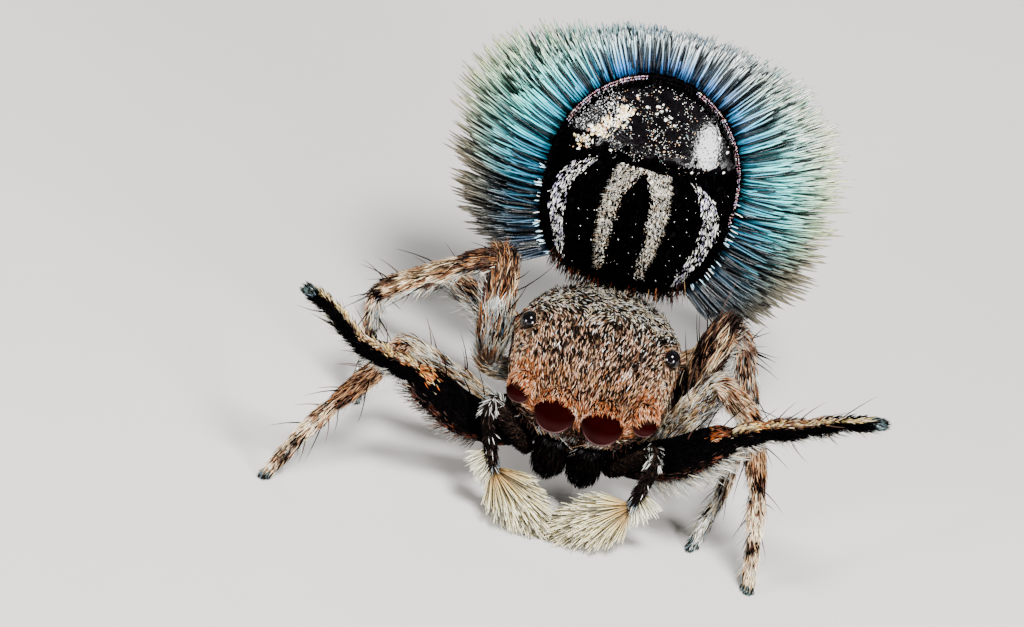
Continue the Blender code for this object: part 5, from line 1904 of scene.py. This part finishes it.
    def outer_stripes(self, draw: np.random.Generator) -> list[tuple[Hair, HairShape]]:
        """Silver-lilac scales that run down the two side stripes."""
        kinds = []
        for side, _ in SIDES:
            across, along, offset, half = self.stripe_places(self.outer_stripe, self.outer_scales, side, draw)
            roots = ABDOMEN.on_dome(across, along)
            count = len(roots)
            slope = np.interp(-along, [-s[0] for s in self.outer_stripe],
                              np.gradient([s[1] for s in self.outer_stripe], [s[0] for s in self.outer_stripe]))
            flow = np.stack([-slope * side * 0.8 + draw.normal(0, 0.12, count), 0 * along, -np.ones(count)], -1)
            ways = lie(roots, flow, 0.14, 0.12, draw)
            tones = palette(white=0.62, lilac=0.26, silver=0.12).pick(draw.random(count))
            tones *= column(draw.uniform(0.80, 1.15, count))
            lengths = draw.uniform(0.045, 0.075, count)
            kinds.append((Hair(roots, ways, lengths, draw.uniform(0.011, 0.016, count),
                               shaded(tones, 0.8), None), SCALE))
        return kinds

    def velvet(self, draw: np.random.Generator) -> tuple[Hair, HairShape]:
        """Short black scales that make the lower field and the rim matt, and short black flecks over the glossy
        field.
        """
        across = draw.uniform(-0.86, 0.86, self.velvet_scales * 2)
        along = draw.uniform(-1.1, 1.08, self.velvet_scales * 2)
        share = ABDOMEN.share(across, along)
        inside = (share < 0.97) & (self.over_edge(across, along) < 0.035) | (share > 0.93) & (share < 1.0)
        inside |= (share < 0.93) & (draw.random(len(share)) < 0.13)
        roots = ABDOMEN.on_dome(across[inside], along[inside])
        roots.places += roots.normals * self.polish_depth
        count = len(roots)
        tones = np.tile(Tone.JET.colour * 0.4, (count, 1))
        ways = lie(roots, np.array([0.0, 0.0, -1.0]), 0.2, 0.35, draw)
        lengths = 0.05 * draw.uniform(0.7, 1.2, count)
        flecks = (ABDOMEN.share(roots.turn, roots.value) < 0.93) & (
            self.over_edge(roots.turn, roots.value) > 0.035)
        lengths = np.where(flecks, lengths * 0.4, lengths)
        return Hair(roots, ways, lengths, np.full(count, 0.013), shaded(tones), None), SETA

    def field_specks(self, draw: np.random.Generator) -> tuple[Hair, HairShape]:
        """The few fine white specks between the stripes."""
        across, along = draw.uniform(-0.84, 0.84, 110), draw.uniform(-1.0, self.velvet_edge, 110)
        inside = ABDOMEN.share(across, along) < 0.93
        roots = ABDOMEN.on_dome(across[inside], along[inside])
        roots.places += roots.normals * 0.012
        count = len(roots)
        lengths = 0.006 + 0.011 * draw.random(count) ** 2
        ways = lie(roots, np.array([0.3, 0.0, -1.0]), 0.1, 0.5, draw)
        tones = np.tile(Tone.WHITE.colour, (count, 1))
        return Hair(roots, ways, lengths, lengths * 0.6, shaded(tones), None), SCALE

    def speckle(self, draw: np.random.Generator) -> tuple[Hair, HairShape]:
        """Pale, grey and tan specks over the glossy field."""
        across = draw.normal(0.0, 0.36, self.specks * 3)
        along = draw.uniform(self.velvet_edge, 1.02, self.specks * 3)
        wave = Mottle(0.08, 23).at(np.stack([across, along, 0 * along], -1))
        chosen = (ABDOMEN.share(across, along) < 0.93) & (wave > -0.6) & (np.abs(across) < 0.7)
        chosen &= (self.over_edge(across, along) > 0) & (draw.random(len(across)) < 0.42)
        roots = ABDOMEN.on_dome(across[chosen], along[chosen])
        roots.places += roots.normals * self.speck_lift
        count = len(roots)
        tones = palette(white=0.40, silver=0.20, grey=0.12, sand=0.08, tan=0.06, sea_grey=0.14).pick(
            draw.random(count))
        flow = draw.normal(0, 1, (count, 3))
        ways = lie(roots, flow, 0.25, 0.4, draw)
        big = draw.random(count) < 0.04
        lengths = np.where(big, 0.030, 0.0095) * draw.uniform(0.5, 1.35, count)
        widths = lengths * draw.uniform(0.5, 0.95, count)
        return Hair(roots, ways, lengths, widths, shaded(tones, 0.9), None), SCALE

    def gold_patch(self, draw: np.random.Generator) -> tuple[Hair, HairShape]:
        """Pale gold and white scales on the right shoulder, laid where the highlight falls: real scales, with a
        painted highlight in their bright tones.
        """
        count = 330
        share = draw.random(count)
        across = -0.66 + 0.40 * share + draw.normal(0, 0.040, count)
        along = 0.26 + 0.50 * share ** 0.8 + draw.normal(0, 0.045, count)
        wave = Mottle(0.07, 29).at(np.stack([across, along, 0 * along], -1))
        chosen = (ABDOMEN.share(across, along) < 0.93) & (wave > -0.1)
        roots = ABDOMEN.on_dome(across[chosen], along[chosen])
        roots.places += roots.normals * self.speck_lift
        count = len(roots)
        # Painted highlight: the gold and white tones are brighter than the scales themselves, for the highlight
        # on the shoulder.
        tones = palette(gold=0.34, white=0.44, sand=0.12, tan=0.10).pick(draw.random(count))
        ways = lie(roots, draw.normal(0, 1, (count, 3)) - np.array([0.0, 0.0, 0.8]), 0.12, 0.4, draw)
        lengths = draw.uniform(0.014, 0.046, count)
        return Hair(roots, ways, lengths, lengths * draw.uniform(0.45, 0.8, count),
                    shaded(tones, 1.0), None), SCALE

    def beads(self, draw: np.random.Generator) -> tuple[Hair, HairShape]:
        """Two rows of pink-lilac beads along the upper rim."""
        count = self.rim_beads
        turn = np.radians(np.concatenate([np.linspace(-6, 72, count // 2), np.linspace(104, 158, count // 2)]))
        turn += draw.normal(0, 0.003, count)
        row = np.tile([0.970, 0.990], count // 2)
        across, along = ABDOMEN.rim(turn)
        roots = ABDOMEN.on_dome(across * row, along * row)
        outward = unit(column(across) * np.array([1.0, 0, 0]) + column(along) * ABDOMEN.up)
        ways = lie(roots, outward, 0.5, 0.2, draw)
        tones = palette(rose=0.50, lilac=0.26, white=0.12, brown=0.12).pick(draw.random(count))
        lengths = draw.uniform(0.012, 0.022, count)
        return Hair(roots, ways, lengths, np.full(count, 0.009), shaded(tones, 0.6), None), BEAD

    def lower_edge(self, draw: np.random.Generator) -> tuple[Hair, HairShape]:
        """Thin black and rusty hairs along the bottom edge."""
        count = 460
        turn = np.radians(draw.uniform(228, 312, count))
        across, along = ABDOMEN.rim(turn)
        size = draw.uniform(0.93, 1.0, count)
        roots = ABDOMEN.on_dome(across * size, along * size)
        ways = unit(roots.along + roots.normals * column(draw.uniform(0.15, 0.9, count))
                    + draw.normal(0, 0.3, (count, 3)))
        tones = palette(black=0.78, dark_brown=0.13, deep_orange=0.06, sand=0.03).pick(draw.random(count))
        lengths = draw.uniform(0.06, 0.17, count)
        bends = roots.normals * column(lengths * 0.3)
        return Hair(roots, ways, lengths, np.full(count, 0.0075), shaded(tones), bends), LONG_HAIR

    def coat(self, pale: bpy.types.Material, velvet: bpy.types.Material, draw: np.random.Generator) -> None:
        """Builds the stripes, specks and beads, then the velvet."""
        bright = self.inner_stripes(draw) + self.outer_stripes(draw)
        bright += [self.field_specks(draw), self.speckle(draw), self.gold_patch(draw), self.beads(draw)]
        hand_over(grow_together("plate_markings", bright), pale, "bristles")
        hand_over(grow_together("plate_velvet", [self.velvet(draw), self.lower_edge(draw)]), velvet,
                  "bristles")


@dataclass
class Fringe:
    """The fan of iridescent bristles round the plate."""

    bristles: int = 5600
    gap: float = math.radians(36)
    aims: Stops = ((-90, -52), (-40, -25), (-20, -8), (0, 6), (12, 17), (40, 46), (65, 68), (90, 90),
                   (115, 112), (140, 135), (165, 152), (180, 165), (195, 176), (217, 192), (250, 205))
    sweep: float = 0.16
    first_depth: float = 0.0
    last_depth: float = 0.50
    leans: Stops = ((0.0, 0.50), (0.05, 0.36), (0.15, 0.12), (0.27, -0.12), (0.41, -0.40), (0.55, -0.55))
    shares: Stops = ((0.0, 0.42), (0.05, 0.60), (0.15, 0.84), (0.27, 1.0), (0.41, 0.99), (0.55, 0.92))
    reach: Stops = ((-60, 0.62), (-45, 0.84), (-25, 1.0), (0, 0.95), (30, 0.82), (60, 0.60), (90, 0.48),
                    (120, 0.52), (140, 0.64), (160, 0.88), (180, 1.0), (215, 0.86), (240, 0.66))
    bands: tuple[float, ...] = (0.0, 0.07, 0.24, 0.50, 0.76, 1.0)
    top_shortening: float = 0.45
    width: float = 0.029
    clumps: int = 1100
    gather: float = 0.22
    dark_share: float = 0.42

    # Tones round the fan: degrees from the spider's left, then root, middle and tip.
    fan: tuple[tuple[float, Point, Point, Point], ...] = (
        (-70, (14, 30, 46), (24, 36, 46), (84, 82, 66)),
        (-40, (20, 42, 58), (32, 44, 48), (100, 90, 68)),
        (-18, (26, 62, 80), (42, 58, 60), (128, 116, 84)),
        (-4, (26, 104, 136), (50, 140, 146), (160, 166, 116)),
        (15, (56, 164, 180), (100, 206, 198), (214, 208, 150)),
        (38, (36, 116, 160), (88, 158, 168), (214, 214, 174)),
        (55, (56, 108, 160), (84, 112, 126), (206, 208, 196)),
        (90, (26, 76, 132), (94, 122, 140), (214, 216, 206)),
        (120, (22, 86, 148), (92, 146, 168), (206, 214, 200)),
        (142, (30, 136, 168), (92, 190, 190), (206, 206, 156)),
        (168, (38, 156, 178), (86, 190, 178), (194, 190, 136)),
        (182, (28, 110, 140), (50, 120, 126), (150, 150, 110)),
        (195, (24, 66, 86), (34, 52, 54), (124, 110, 84)),
        (220, (16, 44, 68), (28, 42, 50), (108, 98, 80)),
        (250, (12, 28, 42), (22, 32, 38), (84, 78, 64)),
    )

    def aim(self, turn: Array) -> Array:
        """The direction in the plate's plane of a bristle rooted at a turn."""
        turn = np.radians(profile(self.aims, np.degrees(turn)))
        return column(np.cos(turn)) * np.array([1.0, 0.0, 0.0]) + column(np.sin(turn)) * ABDOMEN.up

    def tones(self, degrees: Array, beyond: Array) -> Array:
        """The fan's colours, which run in bands round the plate, with painted shade near the roots.

        Args:
            degrees: the turn of each bristle.
            beyond: for each stop of each bristle, how far out it lies: 0 at the rim, 1 at the edge.

        Returns:
            A colour for each stop of each bristle.
        """
        places = [row[0] for row in self.fan]
        made = []
        for stop in (1, 2, 3):
            swatches = np.array([linear(*row[stop]) for row in self.fan])
            made.append(np.stack([np.interp(degrees, places, swatches[:, c]) for c in range(3)], -1))
        root, middle, tip = made
        # Painted shade: the two stops nearest the root darken each bristle's own root colour, for the shade
        # among the bristles by the flank.
        ramp = np.stack([root * 0.12, root * 0.5, root, middle, middle * 0.5 + tip * 0.5, tip])
        step = np.interp(np.clip(beyond, 0, 1), self.bands, np.arange(len(self.bands)))
        low = np.minimum(step.astype(int), len(self.bands) - 2)
        share = (step - low)[..., None]
        bristle = np.arange(len(degrees))[None]
        return ramp[low, bristle] * (1 - share) + ramp[low + 1, bristle] * share

    def roots(self, draw: np.random.Generator, count: int) -> tuple[Roots, Array, Array]:
        """Roots on the flanks, with each one's turn and depth."""
        turn = -math.pi / 2 + self.gap + (2 * math.pi - 2 * self.gap) * draw.random(count)
        depth = self.first_depth + (self.last_depth - self.first_depth) * draw.random(count) ** 1.15
        size = ABDOMEN.flank_size(depth) - 0.015
        across, along = ABDOMEN.rim(turn)
        places = ABDOMEN.point(across * size, along * size, -depth)
        out = unit(column(across) * np.array([1.0, 0, 0]) + column(along) * ABDOMEN.up)
        spots = np.stack([0.02 + 0.95 * (turn + math.pi / 2) / (2 * math.pi), 0.02 + 0.9 * depth / 0.6], -1)
        normals = np.tile(ABDOMEN.out, (count, 1))
        return Roots(places, normals, out, np.cross(normals, out), depth, turn, spots), turn, depth

    def build(self, finish: bpy.types.Material, draw: np.random.Generator) -> None:
        """Builds the fan, in a front and a rear piece."""
        roots, turn, depth = self.roots(draw, self.bristles)
        count = len(roots)
        degrees = np.degrees(turn)
        on_top = np.maximum(0.0, np.sin(turn))
        lean = profile(self.leans, depth) * np.where(depth < 0.2, 1 - 0.85 * on_top, 1.0)
        out = self.aim(turn)
        ways = unit(out * column(np.cos(lean)) + ABDOMEN.out * column(np.sin(lean)))
        ways = unit(ways + draw.normal(0, 0.05, (count, 3)))
        share = profile(self.shares, depth)
        share += np.maximum(0.92 - share, 0.0) * 0.75 * on_top
        reach = share * profile(self.reach, degrees, 4.0) - self.top_shortening * depth * on_top
        lengths = np.maximum(reach, 0.12) * draw.uniform(0.86, 1.12, count)
        tips = roots.places + ways * column(lengths)
        bends = (ABDOMEN.out * column(0.05 * lengths)
                 + ABDOMEN.up * column(self.sweep * lengths * np.cos(turn) ** 2)
                 + draw.normal(0, 0.015, (count, 3)) * column(lengths))
        bends += (self.locks(tips, draw) - tips) * self.gather
        # Painted light and shade: a share of the bristles is painted nearly black for the shadows and unlit
        # sides among them, the rest painted brighter for their iridescent shine; the lower sides are then made
        # darker.
        dark = draw.random(count) < self.dark_share
        lengths *= np.where(dark, 0.86, 1.0)
        shade = np.where(dark, draw.uniform(0.02, 0.14, count), draw.uniform(1.3, 2.4, count))
        shade *= 1 - 0.45 * np.clip(-2.2 * np.sin(turn) - 0.25, 0.0, 1.0)
        steps = np.linspace(0.0, 1.0, 7)[:, None, None]
        line = roots.places + ways * column(lengths) * steps - np.array(ABDOMEN.middle)
        across, along = line[..., 0], line @ ABDOMEN.up
        away = np.hypot(across, along)
        beyond = away * (1 - 1 / np.maximum(ABDOMEN.share(across, along), 0.3))
        beyond /= profile(self.reach, degrees, 4.0) * 0.97
        tones = self.tones(degrees + draw.normal(0, 5, count), beyond) * column(shade)
        widths = self.width * draw.uniform(0.7, 1.15, count)
        front = depth < 0.21
        for part, chosen in (("front", front), ("rear", ~front)):
            hair = Hair(roots.keep(chosen), ways[chosen], lengths[chosen], widths[chosen],
                        tones[:, chosen], bends[chosen])
            piece = hair.grow(f"fringe_{part}", BRISTLE)
            hand_over(piece, finish, "bristles", "abdomen")

    def locks(self, tips: Array, draw: np.random.Generator) -> Array:
        """For each tip, the end of the lock that it gathers towards."""
        ends = tips[draw.choice(len(tips), self.clumps, replace=False)]
        tree = KDTree(len(ends))
        for number, end in enumerate(ends):
            tree.insert(end, number)
        tree.balance()
        return ends[[tree.find(tip)[1] for tip in tips]]

    def glints(self, finish: bpy.types.Material, draw: np.random.Generator) -> None:
        """Short, thick bristles along the lower rim on both sides, whose ice-white tone is a painted glint."""
        count = 200
        degrees = np.where(draw.random(count) < 0.5, draw.uniform(-56, 2, count), draw.uniform(182, 236, count))
        turn = np.radians(degrees)
        size = draw.uniform(0.985, 1.03, count)
        across, along = ABDOMEN.rim(turn)
        places = ABDOMEN.point(across * size, along * size, draw.uniform(-0.10, 0.02, count))
        out = unit(column(across) * np.array([1.0, 0, 0]) + column(along) * ABDOMEN.up)
        normals = np.tile(ABDOMEN.out, (count, 1))
        spots = np.stack([0.5 + 0.4 * np.cos(turn), 0.5 + 0.4 * np.sin(turn)], -1)
        roots = Roots(places, normals, out, normals, turn, turn, spots)
        ways = unit(self.aim(turn) + ABDOMEN.out * column(draw.uniform(0.2, 0.9, count))
                    + draw.normal(0, 0.12, (count, 3)))
        # Painted glint: the ice-white tone stands in for the light caught on these bristles.
        tones = palette(ice=0.7, white=0.3).pick(draw.random(count))
        lengths = draw.uniform(0.05, 0.095, count)
        piece = Hair(roots, ways, lengths, draw.uniform(0.008, 0.012, count), shaded(tones, 0.7),
                     None).grow("rim_glints", BEAD)
        hand_over(piece, finish, "bristles")


@dataclass
class Flank:
    """The back and underside of the raised abdomen, its coat and its spinnerets."""

    hairs: int = 9000
    pale_band: Palette = palette(white=0.2, cream=0.35, sand=0.25, brown=0.2)
    field_tones: Palette = palette(silver=0.14, tan=0.18, brown=0.26, dark_brown=0.22, black=0.20)

    def patch(self, inset: float, rows: int = 44, columns: int = 96) -> Patch:
        """The flank's sheet, from behind the plate to the middle of the back."""
        fall = np.linspace(0.05, math.pi / 2 - 0.02, rows)
        depth = np.concatenate([[0.03, 0.03], ABDOMEN.depth * np.sin(fall)])
        size = np.concatenate([[0.08, 0.9], ABDOMEN.flank_size(ABDOMEN.depth * np.sin(fall)) - inset])
        turn = 2 * math.pi * np.arange(columns) / columns
        across, along = ABDOMEN.rim(turn)
        points = ABDOMEN.point(size[:, None] * across, size[:, None] * along,
                               -np.broadcast_to((depth - inset * (depth > 0.5))[:, None],
                                                (len(depth), columns)))
        return Patch(points, depth)

    def local(self, places: Array) -> tuple[Array, Array]:
        """Across and along of places on the flank."""
        away = places - np.array(ABDOMEN.middle)
        return away[:, 0], away @ ABDOMEN.up

    def tones(self, places: Array, chance: Array, stray: Array) -> Array:
        """The markings: pale side bands and a pale middle line on brown."""
        across, along = self.local(places)
        band = np.abs(np.abs(across) - 0.46 + 0.12 * along ** 2) + 0.05 * stray < 0.09
        line = np.abs(across) + 0.03 * stray < 0.05
        tones = self.field_tones.pick(chance)
        pale = band | line
        tones[pale] = self.pale_band.pick(chance[pale])
        return tones

    def paint(self, patch: Patch) -> None:
        """Gives the hide the coat's own markings, darker, with painted shade that makes it nearly black under
        the fringe.
        """
        roots = patch.flat_roots()
        chance = ranked(Mottle(0.07, 61).at(roots.places))
        # Painted shade: near the plate, under the fringe, the hide is made nearly black.
        fringe_shade = np.clip((roots.value - 0.40) / 0.15, 0.03, 1.0)
        patch.tints = self.tones(roots.places, chance, np.zeros(len(roots))) * column(fringe_shade * 0.35)

    def coat(self, finish: bpy.types.Material, draw: np.random.Generator) -> None:
        """Builds the hair of the back, which lies towards the spinnerets."""
        roots = self.patch(COAT_DEPTH).scatter(self.hairs, draw,
                                               lambda places, value: np.where(value > 0.12, 1.0, 0.0))
        count = len(roots)
        chance = 1 - ranked(Mottle(0.08, 62).at(roots.places) * 0.7 + draw.normal(0, 1, count))
        tones = self.tones(roots.places, chance, draw.normal(0, 1, count))
        tones *= column(draw.uniform(0.75, 1.15, count))
        away = roots.places - SpinneretCluster().tip()
        ways = lie(roots, -away * np.array([1.0, 0.6, 1.0]), 0.3, 0.22, draw)
        lengths = draw.uniform(0.08, 0.15, count)
        piece = Hair(roots, ways, lengths, draw.uniform(0.010, 0.015, count), shaded(tones),
                     -roots.normals * column(lengths * 0.2)).grow("abdomen_back_coat", LONG_HAIR)
        hand_over(piece, finish, "coat")


@dataclass
class SpinneretCluster:
    """Six short spinnerets in a rosette at the upper end of the back."""

    length: float = 0.22
    root_depth: float = 0.54
    root_along: float = 0.70

    def root(self) -> Array:
        """The middle of the cluster on the flank."""
        return ABDOMEN.point(0.0, self.root_along, -self.root_depth)

    def way(self) -> Array:
        """The direction that the cluster points in."""
        return unit(ABDOMEN.up * 0.62 - ABDOMEN.out * 0.78)

    def tip(self) -> Array:
        """The end of the cluster."""
        return self.root() + self.way() * (0.1 + self.length)

    def build(self, shell: bpy.types.Material, hair: bpy.types.Material, draw: np.random.Generator) -> None:
        """Builds the spinnerets and the hair round them."""
        way, side = self.way(), np.array([1.0, 0.0, 0.0])
        up = np.cross(side, way)
        points, corners, kinds, start = [], [], [], 0
        for k, (turn, size) in enumerate(((50, 1.0), (130, 1.0), (230, 0.92), (310, 0.92), (0, 0.6),
                                          (180, 0.6))):
            out = side * math.cos(math.radians(turn)) + up * math.sin(math.radians(turn))
            root = self.root() + out * 0.045 - way * 0.05
            tip = self.root() + way * (0.06 + self.length * size) + out * 0.035
            tube = Limb((tuple(root), tuple((root + tip) / 2 + out * 0.012), tuple(tip)),
                        ((0, 0.036), (1, 0.038), (1.6, 0.030), (2, 0.016)), 1.0).patch(0.0, 10, 16)
            made, faces = tube.triangles()
            points.append(made)
            corners.append(faces + start)
            start += len(made)
            roots = tube.scatter(90, draw)
            tones = palette(silver=0.25, brown=0.35, black=0.40).pick(draw.random(len(roots)))
            lengths = draw.uniform(0.04, 0.08, len(roots))
            ways = lie(roots, roots.along, 0.4, 0.3, draw)
            kinds.append((Hair(roots, ways, lengths, np.full(len(roots), 0.008), shaded(tones), None),
                          LONG_HAIR))
        piece = new_piece("spinneret_cluster", np.vstack(points), np.vstack(corners))
        tint(piece, np.tile(linear(70, 52, 42), (start, 1)))
        hand_over(piece, shell, "shell", "spinnerets")
        hand_over(grow_together("spinneret_hair", kinds), hair, "leg_coat")


# The hide that joins head, thorax, legs, waist and abdomen

@dataclass
class Hide:
    """One seamless skin over all the parts of flesh."""

    voxel: float = 0.018
    smoothing_steps: int = 4
    patches: list[Patch] = field(default_factory=list)

    def add(self, patch: Patch) -> None:
        """Takes in one painted sheet."""
        self.patches.append(patch)

    def waist(self) -> Patch:
        """The narrow waist between thorax and abdomen."""
        low = BODY.point(0.0, 1.78, -0.27)
        high = ABDOMEN.point(0.0, -0.82, -0.30)
        middle = low * 0.55 + high * 0.45 + np.array([0.0, 0.03, -0.02])
        tube = Limb((tuple(low), tuple(middle), tuple(high)), ((0, 0.11), (2, 0.11)), 1.0).patch(0.0)
        tube.tints = np.tile(linear(40, 28, 24), (tube.points.shape[0] * tube.points.shape[1], 1))
        return tube

    def build(self, finish: bpy.types.Material, nodes: list[str]) -> Piece:
        """Fuses the sheets, smooths them and carries their markings over."""
        points, corners, start = [], [], 0
        for patch in self.patches:
            made, faces = patch.triangles()
            points.append(made)
            corners.append(faces + start)
            start += len(made)
        rough = new_piece("hide_rough", np.vstack(points), np.vstack(corners))
        remesh = rough.modifiers.new("fuse", "REMESH")
        remesh.mode = "VOXEL"
        remesh.voxel_size = self.voxel
        smooth = rough.modifiers.new("smooth", "SMOOTH")
        smooth.factor = 0.5
        smooth.iterations = self.smoothing_steps
        graph = bpy.context.evaluated_depsgraph_get()
        mesh = bpy.data.meshes.new_from_object(rough.evaluated_get(graph))
        bpy.data.objects.remove(rough, do_unlink=True)
        mesh.name = "hide"
        piece = bpy.data.objects.new("hide", mesh)
        bpy.context.scene.collection.objects.link(piece)
        mesh.polygons.foreach_set("use_smooth", np.ones(len(mesh.polygons), dtype=bool))
        tint(piece, self.carried_tints(mesh))
        return hand_over(piece, finish, "coat", *nodes)

    def carried_tints(self, mesh: bpy.types.Mesh) -> Array:
        """The marking nearest to each vertex of the fused skin."""
        places = np.vstack([patch.points.reshape(-1, 3) for patch in self.patches])
        tints = np.vstack([patch.tints for patch in self.patches])
        tree = KDTree(len(places))
        for number, place in enumerate(places):
            tree.insert(place, number)
        tree.balance()
        nearest = [tree.find(vert.co)[1] for vert in mesh.vertices]
        return tints[nearest]


# The studio

@dataclass
class Studio:
    """The floor, soft lights and the camera."""

    aim: Point = (-0.84, 0.6, 1.603)
    roll: float = math.radians(15.5)
    elevation: float = math.radians(35)
    distance: float = 160.0
    pixels_per_mm: float = 110.0
    frame_width: int = 1024
    floor_half: float = 400.0

    def camera(self) -> None:
        """The camera at the photo's viewing angle."""
        across = np.array([1.0, 0.0, 0.0])
        rise = np.array([0.0, math.sin(self.elevation), math.cos(self.elevation)])
        back = np.array([0.0, -math.cos(self.elevation), math.sin(self.elevation)])
        right = across * math.cos(self.roll) + rise * math.sin(self.roll)
        up = rise * math.cos(self.roll) - across * math.sin(self.roll)
        lens = bpy.data.cameras.new("camera")
        lens.sensor_width = 36.0
        seen = self.frame_width / self.pixels_per_mm
        lens.lens = lens.sensor_width * self.distance / seen
        lens.clip_start, lens.clip_end = 0.01, 5.0
        camera = bpy.data.objects.new("camera", lens)
        turn = Matrix((right, up, back)).transposed().to_4x4()
        place = PLACEMENT.metres(np.array(self.aim) + back * self.distance)
        camera.matrix_world = Matrix.Translation(place) @ turn
        bpy.context.scene.collection.objects.link(camera)
        bpy.context.scene.camera = camera

    def floor(self, finish: bpy.types.Material) -> None:
        """A broad pale floor at the feet's level."""
        steps = np.linspace(-self.floor_half, self.floor_half, 9)
        x, y = np.meshgrid(steps, steps)
        points = np.stack([x, y, 0 * x], -1).reshape(-1, 3)
        index = np.arange(81).reshape(9, 9)
        corners = np.stack([index[:-1, :-1], index[:-1, 1:], index[1:, 1:], index[1:, :-1]], -1).reshape(-1, 4)
        piece = new_piece("floor", points, corners)
        piece.data.materials.append(finish)
        PLACEMENT.settle(piece)

    def softbox(self, name: str, way: Point, distance: float, width: float, height: float,
                power: float, colour: Point = (1.0, 1.0, 1.0), target: Point = (0.0, 1.2, 1.7)) -> None:
        """One soft area light that looks at the spider.

        Args:
            name: the light's name.
            way: the direction from the target to the light.
            distance: how far off it stands, in millimetres.
            width: its width, in millimetres.
            height: its height, in millimetres.
            power: its power in watts.
            colour: its colour.
            target: the place it looks at.
        """
        lamp = bpy.data.lights.new(name, "AREA")
        lamp.shape = "ELLIPSE"
        lamp.size, lamp.size_y = width * MM, height * MM
        lamp.energy = power
        lamp.color = colour
        made = bpy.data.objects.new(name, lamp)
        way_out = Vector(unit(np.array(way)))
        made.location = PLACEMENT.metres(np.array(target)) + way_out * distance * MM
        made.rotation_mode = "QUATERNION"
        made.rotation_quaternion = (-way_out).to_track_quat("-Z", "Y")
        made.visible_camera = False
        bpy.context.scene.collection.objects.link(made)

    def lights(self) -> None:
        """Two front softboxes, a broad one above and a pale sky."""
        self.softbox("right_softbox", (0.62, -0.75, 0.13), 34.0, 10.0, 16.0, 0.034)
        self.softbox("left_softbox", (-0.72, -0.72, 0.14), 34.0, 8.0, 11.0, 0.020)
        self.softbox("top_softbox", (0.15, -0.35, 1.0), 44.0, 13.0, 13.0, 0.048)
        self.softbox("rear_softbox", (-0.3, 0.9, 0.6), 50.0, 26.0, 26.0, 0.010)
        sky = bpy.data.worlds.new("sky")
        sky.use_nodes = True
        background = sky.node_tree.nodes["Background"]
        background.inputs["Color"].default_value = (0.92, 0.95, 1.0, 1.0)
        background.inputs["Strength"].default_value = 0.11
        bpy.context.scene.world = sky


def main() -> None:
    """Builds every piece in order."""
    logging.basicConfig(level=logging.INFO, format="%(message)s")
    draw = np.random.default_rng(SEED)
    coat = HairFinish("coat_hair", 0.36, 0.58, 0.35).make()
    leg_coat = HairFinish("leg_hair", 0.38, 0.60, 0.28).make()
    velvet = HairFinish("velvet_scale", 0.75, 0.95, 0.0).make()
    bristle = HairFinish("fringe_bristle", 0.22, 0.42, 0.4, coat=0.08, streaks=12.0, contrast=0.2).make()
    palp_hair = HairFinish("palp_brush", 0.35, 0.55, 0.4, streaks=16.0, contrast=0.16).make()
    scale = HairFinish("pale_scale", 0.20, 0.42, 0.6, coat=0.15, contrast=0.2).make()
    hide_finish = SkinFinish().make()
    plate_polish = ShellFinish("plate_polish", 0.10, 0.35, masked=True, specular=0.32).make()
    plate_ground = ShellFinish("plate_ground", 0.7, 0.9, specular=0.0).make()
    jaw_shell = ShellFinish("jaw_shell", 0.30, 0.5, specular=0.08).make()
    satin_lens = LensFinish("satin_lens", 0.42, 0.0, 0.0).make()
    wet_lens = LensFinish("wet_lens", 0.08, 0.35, 0.25).make()

    carapace, eyes, mouth, flank = Carapace(), Eyes(), Mouth(), Flank()
    hide = Hide()
    shield = carapace.patch(COAT_DEPTH)
    carapace.paint(shield)
    hide.add(shield)
    for cup in eyes.sockets():
        hide.add(cup)
    sternum = mouth.sternum(COAT_DEPTH)
    sternum.tints = np.tile(linear(38, 27, 23), (sternum.points.shape[0] * sternum.points.shape[1], 1))
    hide.add(sternum)
    back = flank.patch(COAT_DEPTH)
    flank.paint(back)
    hide.add(back)
    hide.add(hide.waist())
    nodes = ["carapace", "sternum", "waist"]
    legs = [Leg(number, side) for _, side in SIDES for number in LEG_RADII]
    for leg in legs:
        tube = leg.limb().patch(COAT_DEPTH)
        leg.paint(tube)
        hide.add(tube)
        nodes += leg.nodes()
    palps = [Palp(side) for _, side in SIDES]
    for palp in palps:
        for tube in (palp.arm().patch(COAT_DEPTH), palp.bulb(0.045)):
            tube.tints = np.tile(linear(34, 25, 20), (tube.points.shape[0] * tube.points.shape[1], 1))
            hide.add(tube)
        nodes.append(f"palp_{palp.side}_arm")
    hide.build(hide_finish, nodes)

    eyes.lenses(satin_lens, wet_lens)
    hand_over(eyes.rings(draw), coat, "coat")
    for piece, finish in zip(carapace.coat(draw), (coat, velvet)):
        hand_over(piece, finish, "coat")
    mouth.jaws(jaw_shell, velvet, draw)
    for piece, finish in zip(mouth.beard(draw), (coat, velvet)):
        hand_over(piece, finish, "coat")
    for leg in legs:
        for piece, finish in zip(leg.coat(draw), (leg_coat, velvet)):
            hand_over(piece, finish, "leg_coat")
    claws = grow_together("claws", [leg.claws(draw) for leg in legs])
    hand_over(claws, jaw_shell, "shell")
    for palp in palps:
        palp.build(leg_coat, velvet, palp_hair, draw)
    plate = Plate()
    plate.shell(plate_polish, plate_ground)
    plate.coat(scale, velvet, draw)
    fringe = Fringe()
    fringe.build(bristle, draw)
    fringe.glints(bristle, draw)
    flank.coat(coat, draw)
    SpinneretCluster().build(jaw_shell, leg_coat, draw)

    studio = Studio()
    studio.floor(FloorFinish().make())
    studio.lights()
    studio.camera()


if __name__ == "__main__":
    main()
